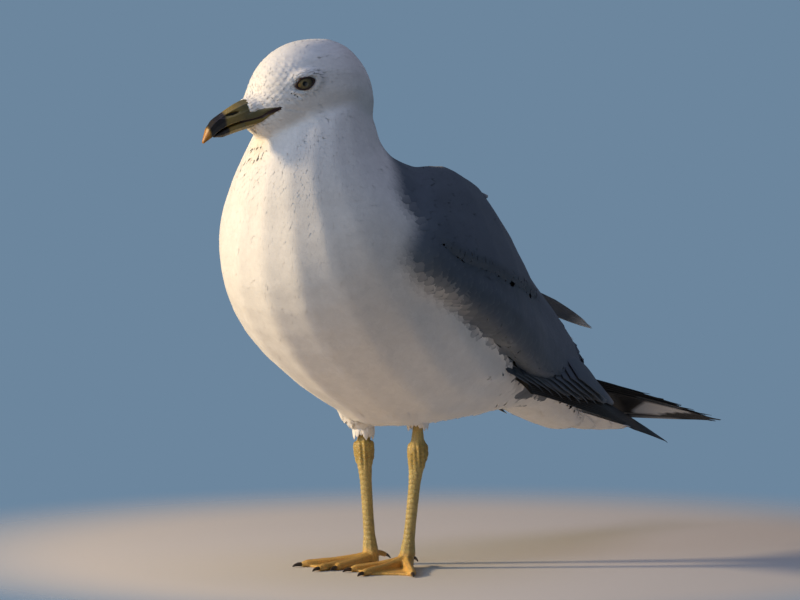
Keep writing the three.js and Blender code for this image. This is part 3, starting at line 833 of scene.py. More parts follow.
def shell_points(path, normal, way, half, thick, camber, columns, reach):
    """Closed thin vanes with an upper and a lower face of their own. path, normal and way are
    (vane, row, 3); half, thick and camber are (vane, row). reach moves each column along."""
    side = unit(np.cross(way, normal))
    across = np.linspace(-1, 1, columns)
    top = (path[:, :, None] + side[:, :, None] * (half[..., None] * across)[..., None]
           - normal[:, :, None] * (camber[..., None] * across ** 2)[..., None]
           + way[:, :, None] * reach[..., None])
    deep = thick[..., None] * (1 - 0.7 * across ** 2)
    low = top - normal[:, :, None] * deep[..., None]
    return np.concatenate([top, low[:, :, ::-1]], 2)


def band_faces(rows, ring, closed=True, mirrored=False):
    """Quads between rows of ring points. closed joins each row's two ends, and mirrored turns
    the quads over."""
    j = np.arange(ring if closed else ring - 1)
    nxt = (j + 1) % ring
    quads = np.concatenate([
        np.stack([k * ring + j, k * ring + nxt, (k + 1) * ring + nxt, (k + 1) * ring + j], 1)
        for k in range(rows - 1)])
    return quads[:, [0, 3, 2, 1]] if mirrored else quads


def shell_faces(count, rows, columns):
    """Quads that close each vane of rows x (2 columns) points."""
    ring = 2 * columns
    c = np.arange(columns - 1)
    cap = np.stack([c, ring - 1 - c, ring - 2 - c, c + 1], 1)
    quads = np.concatenate([band_faces(rows, ring), cap, cap[:, ::-1] + (rows - 1) * ring])
    return (quads[None] + (np.arange(count) * rows * ring)[:, None, None]).reshape(-1, 4)


def vane_faces(count, rows, columns):
    """Quads and triangles that close each vane of rows x (columns + 1) points."""
    ring = columns + 1
    quads = band_faces(rows, ring)
    c = np.arange(columns - 1)
    last = (rows - 1) * ring
    tris = np.concatenate([
        np.stack([np.full_like(c, columns), c + 1, c], 1),
        np.stack([np.full_like(c, last + columns), last + c, last + c + 1], 1)])
    starts = (np.arange(count) * rows * ring)[:, None, None]
    return (quads[None] + starts).reshape(-1, 4), (tris[None] + starts).reshape(-1, 3)


NO_TRIS = np.zeros((0, 3), int)


def turned_out(points, quads, tris=NO_TRIS):
    """Faces turned so that the first closed vane, and so every one, faces outward."""
    corner = points[quads[:, :3]]
    other = points[quads[:, [0, 2, 3]]]
    volume = sum(np.einsum("ij,ij->i", c[:, 0], np.cross(c[:, 1], c[:, 2])).sum()
                 for c in (corner, other, points[tris]))
    return (quads, tris) if volume > 0 else (quads[:, ::-1], tris[:, ::-1])


def bake_map(roots_flat, rows, columns):
    """A small patch for each vane at its root's place on the skin's unwrap."""
    patch = 0.003
    low, high = roots_flat.min(0), roots_flat.max(0)
    spots = 0.006 + (roots_flat - low) / np.maximum(high - low, 1e-6) * (0.988 - patch)
    across = np.append(np.linspace(0, 1, columns), 0.5)
    along = np.linspace(0, 1, rows)
    cell = np.stack(np.broadcast_arrays(across[None, :], along[:, None]), -1) * patch
    return (spots[:, None, None] + cell[None]).reshape(-1, 2)


def coat_points(skin, path, normal, way, half, height, thick, camber, columns, reach):
    """Closed thin vanes that follow the skin at their given heights over it, and outward
    directions taken from the skin, so that the coat shades as one smooth surface."""
    side = unit(np.cross(way, normal))
    across = np.linspace(-1, 1, columns)
    top = (path[:, :, None] + side[:, :, None] * (half[..., None] * across)[..., None]
           + way[:, :, None] * reach[..., None])
    spots, out = skin.pressed(top)
    level = height[..., None] - camber[..., None] * across ** 2
    top = spots + out * level[..., None]
    face = np.linalg.norm(spots[:, 0, 0] - CULMEN_BASE, axis=1) < 46
    if face.any():
        top[face], out[face] = folded(top[face], out[face])
    middle = columns // 2
    low = top[:, :, middle] - out[:, :, middle] * (thick + camber)[..., None]
    points = np.concatenate([top, low[:, :, None]], 2)
    return points, np.concatenate([out, out[:, :, middle:middle + 1]], 2)


# Forms of vane: its stations along it, its width at each as a share, and its points across.
SOFT = {"rows": [0, 0.4, 0.72, 0.9, 1.0], "wide": [0.55, 0.95, 1.0, 0.8, 0.35], "columns": 3}
TINY = {"rows": [0, 0.4, 0.78, 1.0], "wide": [0.6, 1.0, 0.8, 0.3], "columns": 3}
FIRM = {"rows": [0, 0.3, 0.6, 0.78, 0.9, 0.97, 1.0], "wide": [0.6, 0.95, 1.0, 0.95, 0.78, 0.5, 0.2],
        "columns": 7}


def lay_vanes(name, roots, faces, form, length, width, depth, material, slot, wander=6.0,
              ragged=0.1, lift=None, curve=3.4, camber=0.1, tip_colour=None):
    """One coat piece: a vane at each root, rising through the coat to its tip."""
    skin = made["skin"]
    stations = np.array(form["rows"])
    columns, rows, count = form["columns"], len(stations), len(roots)
    normal = skin.face_normals[faces]
    heading = skin.face_heading[faces]
    swing = np.radians(rng.normal(0, wander, count))[:, None]
    heading = unit(heading * np.cos(swing) + np.cross(normal, heading) * np.sin(swing))
    length = length * rng.uniform(0.88, 1.12, count) * mix(1.0, 0.45, near_eye(roots))
    width = width * mix(1.0, 0.6, near_eye(roots))
    path, out, way = skin.walk(roots, heading, length, stations)
    rise = 1 - (1 - stations[None]) ** curve
    height = depth[:, None] * rise * rng.uniform(0.985, 1.01, (count, 1))
    if lift is not None:
        height = height + lift[:, None] * stations[None] ** 1.5
    half = width[:, None] / 2 * np.array(form["wide"])[None] * rng.uniform(0.9, 1.1, (count, 1))
    thick = np.clip(width[:, None] * 0.1, 0.15, 0.6) * np.array([1.0] * (rows - 2) + [0.8, 0.2])[None]
    reach = rng.uniform(-1, 1, (count, 1, columns)) * ragged * length[:, None, None]
    reach = reach - np.abs(np.linspace(-1, 1, columns)) ** 2 * length[:, None, None] * 0.1
    reach = reach * (stations[None, :, None] ** 4)
    points, outward = coat_points(skin, path, out, way, half, height, thick,
                                  np.full((count, rows), camber), columns, reach)
    keep = (outward[:, 0, 0] * outward[:, -1, 0]).sum(1) > 0.25
    tips = points[:, -1, :columns].reshape(-1, 3)
    keep &= bare_face(tips).reshape(count, columns).max(1) < 0.5
    points, outward, half, length = points[keep], outward[keep], half[keep], length[keep]
    faces, roots, count = faces[keep], roots[keep], int(keep.sum())
    quads, tris = vane_faces(count, rows, columns)
    flat = points.reshape(-1, 3)
    quads, tris = turned_out(flat, quads, tris)
    blurred = ramp(roots[:, 1], 45, 15)[:, None, None]
    places = roots[:, None] + (path[keep] - roots[:, None]) * blurred
    soft = np.repeat(np.interp(roots[:, 1], [-45, -10], [8, 3.5]), rows)
    paint = markings(places.reshape(-1, 3), soft).reshape(count, rows, 3)
    paint = paint * rng.uniform(0.97, 1.03, (count, 1))[:, None]
    paint = np.broadcast_to(paint[:, :, None], (count, rows, columns + 1, 3)).copy()
    if tip_colour is not None:
        share = ramp(stations, 0.86, 1.0)[None, :, None, None]
        paint = mix(paint, tip_colour[None, None, None], share)
    across = np.append(np.linspace(-1, 1, columns), 0)
    vane = np.stack(np.broadcast_arrays(
        half[:, :, None] * across * MM,
        (length[:, None] * stations)[:, :, None] * np.ones(columns + 1) * MM), -1)
    flat_spots = skin.flat[skin.faces[faces]].mean(1)
    piece = mesh_piece(name, flat, quads, tris, paint.reshape(-1, 3), {
        "Vane": vane.reshape(-1, 2),
        "OFBake": bake_map(flat_spots, rows, columns),
    }, material, outward.reshape(-1, 3))
    fit_out(piece, slot)
    return piece


# ---------------------------------------------------------------- long feathers

def quill_course(base, tip, facing, arch, rows):
    """A long feather's shaft: places, outward and forward directions."""
    base, tip = np.array(base, float), np.array(tip, float)
    run = tip - base
    across = unit(np.cross(run, facing))
    out = unit(np.cross(across, run))
    t = np.linspace(0, 1, rows)
    swing = (4 * t * (1 - t))[:, None]
    path = base + run * t[:, None] + out * arch * swing
    way = unit(np.gradient(path, axis=0))
    normal = unit(np.cross(np.cross(way, out), way))
    return path, normal, way


def long_feathers(name, quills, material, slot, replaced=(), columns=9, rows=16):
    """Flight or tail feathers as one piece. Each quill is a dict with its course, width,
    bluntness and a colour function of (share along, place across)."""
    t = np.linspace(0, 1, rows)
    across = np.linspace(-1, 1, columns)
    place = np.append(across, across[::-1])
    parts = []
    for quill in quills:
        course = quill_course(quill["base"], quill["tip"], quill["facing"],
                              quill.get("arch", 0), rows)
        size = np.linalg.norm(np.subtract(quill["tip"], quill["base"]))
        blunt = quill.get("blunt", 0.8)
        taper = np.clip((1 - t) / (1 - blunt), 0, 1) ** quill.get("roundness", 0.5)
        half = quill["width"] / 2 * (0.62 + 0.38 * ramp(t, 0, 0.35)) * np.maximum(taper, 0.12)
        ragged = quill.get("ragged", 0.012)
        reach = rng.uniform(-1, 1, columns) * ragged * size
        reach = reach[None] * (t[:, None] ** 8)
        paint = quill["paint"](t[:, None] * np.ones(2 * columns), place[None] * np.ones((rows, 1)))
        vane = np.stack(np.broadcast_arrays(
            half[:, None] * place * MM, (t * size * MM)[:, None] * np.ones(2 * columns)), -1)
        parts.append((*course, half, quill.get("thick", 0.6) * (1 - 0.6 * t),
                      half * quill.get("camber", 0.16), reach, paint, vane))
    *shapes, reaches, paints, vanes = (np.array(part) for part in zip(*parts))
    points = shell_points(*shapes, columns, reaches)
    quads = shell_faces(len(quills), rows, columns)
    flat = points.reshape(-1, 3)
    quads, tris = turned_out(flat, quads)
    count = len(quills)
    wide = np.linspace(0, 1, columns)
    slots_wide = (np.arange(count)[:, None, None] + 0.06
                  + 0.88 * np.append(wide, wide[::-1])[None, None]) / count
    bake = np.stack(np.broadcast_arrays(slots_wide, (0.02 + 0.96 * t)[None, :, None]), -1)
    piece = mesh_piece(name, flat, quads, tris, paints.reshape(-1, 3), {
        "Vane": vanes.reshape(-1, 2),
        "OFBake": bake.reshape(-1, 2),
    }, material)
    fit_out(piece, slot, *replaced)
    return piece


def across_mirror(vector, side):
    """A place or direction of the left side, or its mirror image for side -1."""
    return np.array(vector, float) * (side, 1, 1)


# ---------------------------------------------------------------- skin and coat

# The line in side view where the mantle overhangs the folded wing, as (y, z).
SHADOW_LINE = np.array([(-46, 186), (-43, 183), (-35, 178.5), (-25, 174), (-1.4, 167), (32, 156),
                        (98, 140), (130, 128)])
# How far the forehead is pressed in, in mm, by height over the bill's base.
FOREHEAD_PRESS = ((-4, 0, 3, 9, 14, 21), (0, 2.6, 3.8, 1.9, -1.0, 0))
# How far the belly is drawn up, in mm, by place along the bird.
BELLY_TUCK = ((-5, 8, 20, 40, 85, 100, 112, 130, 150, 170),
              (0, 1.2, 2.4, 2.6, 2.6, 4.2, 5.0, 4.2, 2.4, 0))


def over_line(points, line):
    """How far points lie above a line drawn in side view from front to back, and how far
    they lie inside its two ends."""
    height = points[:, 2] - np.interp(points[:, 1], line[:, 0], line[:, 1])
    slope = np.interp(points[:, 1], line[:-1, 0], np.diff(line[:, 1]) / np.diff(line[:, 0]))
    inside = np.minimum(points[:, 1] - line[0, 0], line[-1, 0] - points[:, 1])
    return height / np.hypot(1, slope), inside


class GULL_OT_grow_skin(Operator):
    """One skin over the head, neck, trunk, thighs and arms"""
    bl_idname = "gull.grow_skin"
    bl_label = "Grow skin"

    def execute(self, context):
        points, faces, edges = grow_skin()
        level, heading, normals = lie_of_the_coat(points, faces, edges)
        above, inside = over_line(points, SHADOW_LINE)
        step = ramp(inside, -4, 10) * ramp(np.abs(points[:, 0]), 18, 34)
        step = step * (1.3 * ramp(above, -1.5, 2) * ramp(above, 24, 6)
                       - 1.6 * ramp(above, 1.5, -2) * ramp(above, -20, -5))
        points = points + normals * step[:, None]
        tuck = np.interp(points[:, 1], BELLY_TUCK[0], BELLY_TUCK[1]) * ramp(-normals[:, 2], 0, 0.6)
        points[:, 2] += tuck * ramp(points[:, 2], 108, 98) * ramp(np.abs(points[:, 0]), 60, 40)
        ahead, height, out = bill_reading(points)
        front = np.exp(-((ahead + 4) / 8) ** 2 - (out / 8) ** 2)
        points = points - normals * (front * np.interp(height, *FOREHEAD_PRESS))[:, None]
        points = shape_eye_sockets(points)
        normals = point_normals(points, faces)
        made["skin"] = SkinSurface(points, faces, level, heading, normals)
        piece = mesh_piece("skin", points, faces, colours=markings(points), material=skin_material())
        fit_out(piece, "white_plumage", "trunk", "neck", "head", "left_thigh", "right_thigh",
                "left_wing", "right_wing")
        return {"FINISHED"}


# The bare corner of the mouth in side view: its upper and lower edge, and the dark line where
# the two halves of the bill meet, as (ahead of the bill's base, above it).
GAPE_TOP = np.array([(-14, -7.9), (-10.7, -6.9), (-5.8, -6.4), (-2.2, -6.1), (3.4, -7.0), (9, -7.0)])
GAPE_LOW = np.array([(-14, -8.6), (-10.6, -8.0), (-5.6, -10.2), (-2.1, -12.8), (1, -13.6), (9, -13.6)])
GAPE_LINE = np.array([(-14, -8.2), (-10.6, -7.5), (-7.8, -7.9), (-4.9, -8.7), (-2.3, -10.1),
                      (1, -10.5), (9, -10.5)])
GAPE_OUT = np.array([(-14, 17.0), (-10.7, 15.7), (-5.8, 12.6), (-2.2, 9.7), (0, 8.2), (4, 6.4),
                     (9, 4.4)])


def along_bill(table, ahead):
    """A table's second column read at places along the bill."""
    return np.interp(ahead, table[:, 0], table[:, 1])


def bare_face(points):
    """1 where the skin is bare of feathers: round the eyes, at the mouth and under the bill."""
    ahead, height, _ = bill_reading(points)
    near = np.linalg.norm(points - bill_place(-4, -8, 0), axis=1) < 26
    bare = ramp(ahead - feather_edge(height), -0.2, 0.4)
    mouth = np.minimum(along_bill(GAPE_TOP, ahead) - height, height - along_bill(GAPE_LOW, ahead))
    bare = np.maximum(bare, ramp(mouth, 0.0, 0.35) * (ahead > -13)) * near
    for name in SIDES:
        rim, _, depth = eye_openness(points, name)
        bare = np.maximum(bare, ramp(rim, 1.16, 1.1) * (depth > 0))
    return bare


FRINGE = (8, 62)                 # from and to along the bird, mm

COAT = [
    # name, from and to (mm from the bill's base), form, spacing, width over length
    ("face_plumage", 0, 34, TINY, 0.95, 0.5),
    ("crown_plumage", 34, 72, TINY, 1.35, 0.5),
    ("neck_plumage", 72, 118, SOFT, 1.6, 0.44),
    ("breast_plumage", 118, 172, SOFT, 1.75, 0.42),
    ("belly_plumage", 172, 500, SOFT, 2.0, 0.42),
]


class GULL_OT_lay_white_coat(Operator):
    """The white contour feathers, smallest on the face"""
    bl_idname = "gull.lay_white_coat"
    bl_label = "Lay white plumage"

    def execute(self, context):
        look = context.scene.gull_plumage
        material = feather_material("white_contour_feathers", 0.45, 0.62, 0.2, 0.14, 9.0)
        skin = made["skin"]
        reach = bill_distance(skin.centres)
        grey = greyness(skin.centres)
        leg = skin.centres[:, 2] < THIGH_TOP
        bare = bare_face(skin.centres)
        for name, start, end, form, gap, shape in COAT:
            wanted = ((reach >= start) & (reach < end) & (grey < 0.5) & ~leg & (bare < 0.5))
            spacing = np.full(len(reach), gap * look.spacing)
            roots, faces = skin.scatter(wanted.astype(float), spacing)
            length = feather_length(roots)
            lay_vanes(name, roots, faces, form, length, length * shape, coat_depth(roots) - 0.15,
                      material, "white_plumage", ragged=0.015)
        spacing = np.full(len(reach), 1.9 * look.spacing)
        roots, faces = skin.scatter((leg & (grey < 0.5)).astype(float), spacing)
        length = np.interp(roots[:, 2], [70, 95], [7, 14])
        lay_vanes("thigh_plumage", roots, faces, SOFT, length, length * 0.5,
                  coat_depth(roots) + 0.4, material, "white_plumage", wander=8, ragged=0.02)
        self.flank_fringe(skin, material)
        self.thigh_plumes(material, tint(look.white))
        return {"FINISHED"}

    def thigh_plumes(self, material, white):
        """Wisps that hang round the top of each bare leg."""
        number, first_turn = 14, 0.2
        plumes = []
        for name, (x, y) in THIGH_MIDDLE.items():
            for turn in np.linspace(0, math.tau, number + 1)[:-1] + first_turn:
                out = np.array([math.cos(turn), math.sin(turn), 0])
                top = np.array([x, y, CUFF[name] + 7]) + out * 5
                end = np.array([x, y, CUFF[name] - rng.uniform(0.5, 3.5)]) + out * 5.6
                plumes.append({
                    "base": top, "tip": end, "facing": out, "width": 5, "blunt": 0.5, "thick": 0.3,
                    "ragged": 0.05, "arch": 0.8, "camber": 0.2,
                    "paint": lambda along, across: np.broadcast_to(white, along.shape + (3,)),
                })
        long_feathers("thigh_plumes", plumes, material, "white_plumage", rows=8, columns=5)

    def flank_fringe(self, skin, material):
        """Longer flank feathers that overlap the lower edge of the folded wing."""
        away = -inside_by(skin.centres[:, 1:], MANTLE_EDGE)
        y = skin.centres[:, 1]
        front, rear = FRINGE
        border = (away > 1) & (away < 11) & (y > front) & (y < rear) & (skin.centres[:, 2] < 170)
        roots, faces = skin.scatter(border.astype(float), np.full(len(y), 3.6))
        length = np.interp(roots[:, 1], [-55, -10, 60], [12, 17, 24])
        lay_vanes("flank_plumage", roots, faces, SOFT, length, length * 0.5,
                  coat_depth(roots) + 0.8, material, "white_plumage", ragged=0.03, curve=1.3)


class GULL_OT_lay_grey_coat(Operator):
    """The grey mantle, shoulder feathers and wing coverts"""
    bl_idname = "gull.lay_grey_coat"
    bl_label = "Lay grey plumage"

    def execute(self, context):
        look = context.scene.gull_plumage
        material = feather_material("grey_contour_feathers", 0.5, 0.6, 0.1, 0.16, 12.0)
        skin = made["skin"]
        centre = skin.centres
        grey = greyness(centre) >= 0.5
        above, _ = over_line(centre, SHADOW_LINE)
        front = ramp(centre[:, 1], -70, 30)
        spacing = mix(3.0, 4.8, front) * look.spacing
        upper = grey & ((above > 0) | (np.abs(centre[:, 0]) < 18))
        edge = mix(tint(look.grey), tint(look.white), 0.05)
        for name, wanted in (("mantle_plumage", upper), ("wing_coverts", grey & ~upper)):
            roots, faces = skin.scatter(wanted.astype(float), spacing)
            length = np.interp(roots[:, 1], [-65, 0, 90, 160], [12, 18, 26, 30])
            over, ends = over_line(roots, SHADOW_LINE)
            lift = 0.3 * ramp(over, 16, 2) * (over > 0) * ramp(ends, -4, 12)
            lay_vanes(name, roots, faces, FIRM, length, length * 0.62, coat_depth(roots),
                      material, "grey_plumage", wander=3, ragged=0.01, lift=lift,
                      tip_colour=edge if name == "wing_coverts" else None)
        return {"FINISHED"}


# ---------------------------------------------------------------- flight and tail feathers

# Places are given for the left wing, as (x, y, z). Tertials have base, tip and width.
TERTIALS = [
    ((38, 52, 118), (34, 121, 90), 30), ((34, 66, 119), (29, 141, 85), 32),
    ((29, 82, 119), (23, 160, 82), 32), ((22, 98, 118), (16, 180, 78), 32),
    ((15, 112, 116), (8, 197, 74.5), 28),
]
WING_FACING = np.array([0.7, 0.35, 0.6])         # the way that a folded wing's feathers face
COVERT_ROW = {"base": ((46, 44, 108.5), (37, 116, 100.0)), "run": ((-5, 32, -13.0), (-14, 50, -19.0)),
              "number": 10}      # greater coverts, at the row's front and rear end
LOOSE_FEATHER = ((12, 112, 146), (10, 201, 113), 10)
WING_TIPS = {"left": (-15, 280, 43), "right": (15, 281, 57)}      # the wings cross over the rump
WING_FAN = {"left": 0.9, "right": 2.1}   # how far each primary's tip lies to the side of the last
WING_WIDTH = {"left": 20, "right": 23}   # of one primary
WING_ARCH = {"left": 5, "right": 2}
MIRRORED = {"left": 0, "right": 2}       # on the left they lie hidden under the feathers above
RAGGED_TIPS = {"left": 0.004, "right": 0.03}     # how far a tip frays, as a share of the feather
PRIMARY_BASE = (46, 62, 97)
PRIMARY_STEPS = (0, 9, 20, 32, 44, 57)   # how far each primary's tip falls short of the longest
# The fan of tail feathers: where it starts along the bird and at what height, the feathers'
# length, fall and width, how many pairs there are and half the fan's width at its root.
TAIL = {"start": 118, "height": 87, "length": 96, "drop": math.radians(15.5), "pairs": 6,
        "spread": 9, "width": 17}


class GULL_OT_fold_wings(Operator):
    """Tertials, greater coverts and the loose shoulder feathers of both wings"""
    bl_idname = "gull.fold_wings"
    bl_label = "Fold wing feathers"

    def execute(self, context):
        look = context.scene.gull_plumage
        grey, white = tint(look.grey), tint(look.white)
        material = feather_material("grey_flight_feathers", 0.7, 0.5, 0.08, 0.45, 25.0)

        def paint(dark, rim, rim_wide):
            def colour(along, across):
                share = np.maximum(ramp(along, 1 - rim_wide, 1), 0.15 * ramp(np.abs(across), 0.86, 1))
                return mix(grey * dark, white * rim, share[..., None])
            return colour

        for name, side in SIDES.items():
            facing = across_mirror(WING_FACING, side)
            quills = [{
                "base": across_mirror(base, side), "tip": across_mirror(tip, side),
                "facing": facing, "width": width, "arch": 3, "blunt": 0.72, "thick": 0.8,
                "paint": paint(0.94, 0.6, 0.1), "camber": 0.1, "ragged": 0.03,
            } for base, tip, width in TERTIALS]
            for share in np.linspace(0, 1, COVERT_ROW["number"]):
                base, run = (mix(*np.array(COVERT_ROW[key], float), share) for key in ("base", "run"))
                base = across_mirror(base, side) + unit(facing) * 2.2 * share
                quills.append({
                    "base": base, "tip": base + across_mirror(run, side), "facing": facing,
                    "width": mix(13, 25, min(share * 2, 1)), "arch": 2, "blunt": 0.86, "thick": 0.5,
                    "camber": 0.03, "ragged": 0.04, "paint": paint(0.9, 0.5, 0.08),
                })
            long_feathers(f"{name}_tertials", quills, material, "grey_plumage")
        base, tip, width = LOOSE_FEATHER
        loose = [{
            "base": across_mirror(base, -1), "tip": across_mirror(tip, -1),
            "facing": across_mirror(WING_FACING, -1), "width": width, "arch": 3, "blunt": 0.6,
            "thick": 0.5, "ragged": 0.03, "paint": paint(0.9, 0.9, 0.2),
        }, {
            "base": (-12, 124, 134), "tip": (-9, 181, 109), "facing": (-0.6, 0.3, 0.7),
            "width": 5, "arch": 2, "blunt": 0.5, "thick": 0.4, "ragged": 0.05,
            "paint": paint(1.5, 1.0, 0.8),
        }, {
            "base": (31, 14, 206), "tip": (32, 47, 200.5), "facing": (0.5, 0.3, 0.8), "width": 13,
            "arch": 1, "blunt": 0.6, "thick": 0.4, "ragged": 0.03, "paint": paint(0.9, 0.8, 0.1),
        }]
        long_feathers("loose_shoulder_feathers", loose, material, "grey_plumage")
        return {"FINISHED"}


class GULL_OT_fold_primaries(Operator):
    """The folded primaries of both wings: black with white mirrors and tips"""
    bl_idname = "gull.fold_primaries"
    bl_label = "Fold primaries"

    def execute(self, context):
        look = context.scene.gull_plumage
        black, white = tint(look.black), tint(look.white)
        material = feather_material("black_flight_feathers", 0.7, 0.45, 0.05, 0.5, 25.0)

        def paint(mirror, inner):
            """Black, with the white mirror near the tip. inner is the side of the inner vane."""
            def colour(along, across):
                across = across * inner
                past = along - mirror
                patch = (ramp(past, -0.088, -0.082) * ramp(across, 0.86, 0.78)
                         * ramp(across, -0.66, -0.56) * ramp(across + 0.35 - past * 17.5, 0, 0.12))
                edge = ramp(across, -0.8, -0.88) * ramp(np.abs(past + 0.02), 0.075, 0.06)
                share = np.maximum(patch, edge * 0.8) * (mirror > 0)
                return mix(black, white * 0.8, np.clip(share, 0, 1)[..., None])
            return colour

        tilt = math.radians(36)
        for name, side in SIDES.items():
            facing = across_mirror(unit(np.array([math.sin(tilt), 0.2, math.cos(tilt)])), side)
            base = across_mirror(PRIMARY_BASE, side)
            tip = np.array(WING_TIPS[name], float)
            back = unit(base - tip)
            inward = unit(np.cross(tip - base, facing)) * side
            quills = []
            for i, shorter in enumerate(PRIMARY_STEPS):
                lift = facing * i * 0.55
                quills.append({
                    "base": base + lift - inward * i,
                    "tip": tip + back * shorter + lift - inward * i * WING_FAN[name],
                    "facing": facing, "width": WING_WIDTH[name], "arch": WING_ARCH[name], "blunt": 0.66,
                    "thick": 0.7, "ragged": RAGGED_TIPS[name], "roundness": 0.75,
                    "paint": paint(0.86 if i < MIRRORED[name] else 0, -side),
                })
            long_feathers(f"{name}_folded_primaries", quills, material, "black_plumage",
                          (f"{name}_primaries",), rows=64, columns=13)
        return {"FINISHED"}


# Rows of undertail coverts from front to back: where they start and end along the bird, and the
# heights there under the middle line.
UNDERTAIL = ((100, 87, 150, 66.5), (112, 82.5, 166, 62.3), (122, 78.5, 180, 59.6),
             (134, 74.5, 196, 58.2), (146, 71, 211, 57.4))


class GULL_OT_close_tail(Operator):
    """The twelve white tail feathers, closed, with the long coverts over and under them"""
    bl_idname = "gull.close_tail"
    bl_label = "Close tail"

    def execute(self, context):
        white = tint(context.scene.gull_plumage.white)
        material = feather_material("white_tail_feathers", 0.7, 0.55, 0.1, 0.45, 25.0)
        quills = []
        for share in np.linspace(-1, 1, 2 * TAIL["pairs"]):
            reach = TAIL["length"] - 5 * abs(share)
            base = np.array([share * TAIL["spread"], TAIL["start"],
                             TAIL["height"] - abs(share) * 3])
            run = np.array([share * 4, reach * math.cos(TAIL["drop"]),
                            -reach * math.sin(TAIL["drop"])])
            quills.append({
                "base": base, "tip": base + run, "facing": np.array([share * 0.05, 0.2, 1]),
                "width": TAIL["width"], "blunt": 0.88, "thick": 0.7, "ragged": 0.012,
                "paint": lambda along, across: np.broadcast_to(white * 0.97, along.shape + (3,)),
            })
        long_feathers("tail_feathers", quills, material, "white_plumage", ("tail",))
        plain = quills[0]["paint"]
        coverts = []
        for start, high, stop, low in UNDERTAIL:
            for share in np.linspace(-1, 1, 9):
                bend = share * share
                base = np.array([share * 14, start - 2 * bend, high + 7 * bend])
                end = bend ** 3
                tip = np.array([share * 14, stop - (3 + 16 * end) * bend, low + (2 + 5 * end) * bend])
                coverts.append({
                    "base": base, "tip": tip, "facing": np.array([share * 1.1, -0.25, -1]),
                    "width": 15 - 4 * bend, "blunt": 0.62, "thick": 0.5, "ragged": 0.015, "arch": 1,
                    "camber": 0.05, "paint": plain,
                })
        long_feathers("undertail_coverts", coverts, material, "white_plumage")
        return {"FINISHED"}


# ---------------------------------------------------------------- bare parts

# Where the black band starts and ends, each from no black to full black, in mm along the bill.
# The nostril's middle, along the bill and above its ridge's base, and half its size.
UPPER_BAND, LOWER_BAND = ((14.0, 16.4), (28.2, 26.4)), ((15.0, 17.0), (27.5, 25.4))
NOSTRIL_AHEAD, NOSTRIL_HEIGHT, NOSTRIL_LONG, NOSTRIL_HIGH = 12.0, -4.5, 4.3, 0.8


class GULL_OT_shape_bill(Operator):
    """Both halves of the bill: yellow with a black band, and the nostrils"""
    bl_idname = "gull.shape_bill"
    bl_label = "Shape bill"

    def execute(self, context):
        look = context.scene.gull_bare
        yellow, base_tone, black, tip_tone = (tint(c) for c in (
            look.bill, look.bill_base, look.bill_band, look.bill_tip))
        material = horn_material("keratin_bill_sheath", 0.42, 3.0, 0.2)
        for name in ("upper_bill", "lower_bill"):
            points, faces = fused([node_shape(name, 0.05)], 0.34)
            edges = edges_of(faces)
            points = relaxed(points, edges, 10)
            normals = point_normals(points, faces)
            ahead, height, out = bill_reading(points)
            if name == "upper_bill":
                slit_middle = np.hypot((ahead - NOSTRIL_AHEAD) / NOSTRIL_LONG,
                                       (height - NOSTRIL_HEIGHT) / NOSTRIL_HIGH)
                slit = ramp(slit_middle, 1.15, 0.6)
                points = points - normals * (slit * 1.4 + 0.25 * ramp(slit_middle, 2.4, 1.4))[:, None]
                start, end = UPPER_BAND
                band = ramp(ahead + 0.25 * height, *start) * ramp(ahead, *end)
            else:
                slit = np.zeros(len(points))
                start, end = LOWER_BAND
                band = ramp(ahead, *start) * ramp(ahead, *end)
            wobble = 0.6 * np.sin(height * 1.7) * np.sin(out * 1.1 + 1)
            band = np.clip(band + 0.12 * wobble * (band > 0.02) * (band < 0.98), 0, 1)
            paint = mix(base_tone, yellow, ramp(ahead, 2, 14)[:, None])
            paint = mix(paint, tip_tone[None], ramp(ahead, 26, 29)[:, None])
            paint = mix(paint, black[None], band[:, None])
            # Painted shade: the nostril's slit is painted near black, as the shade inside the hole.
            paint = mix(paint, black[None] * 0.6, slit[:, None] * 0.9)
            piece = mesh_piece(f"{name}_sheath", points, faces, colours=paint, material=material)
            fit_out(piece, "bill_horn", name)
        return {"FINISHED"}


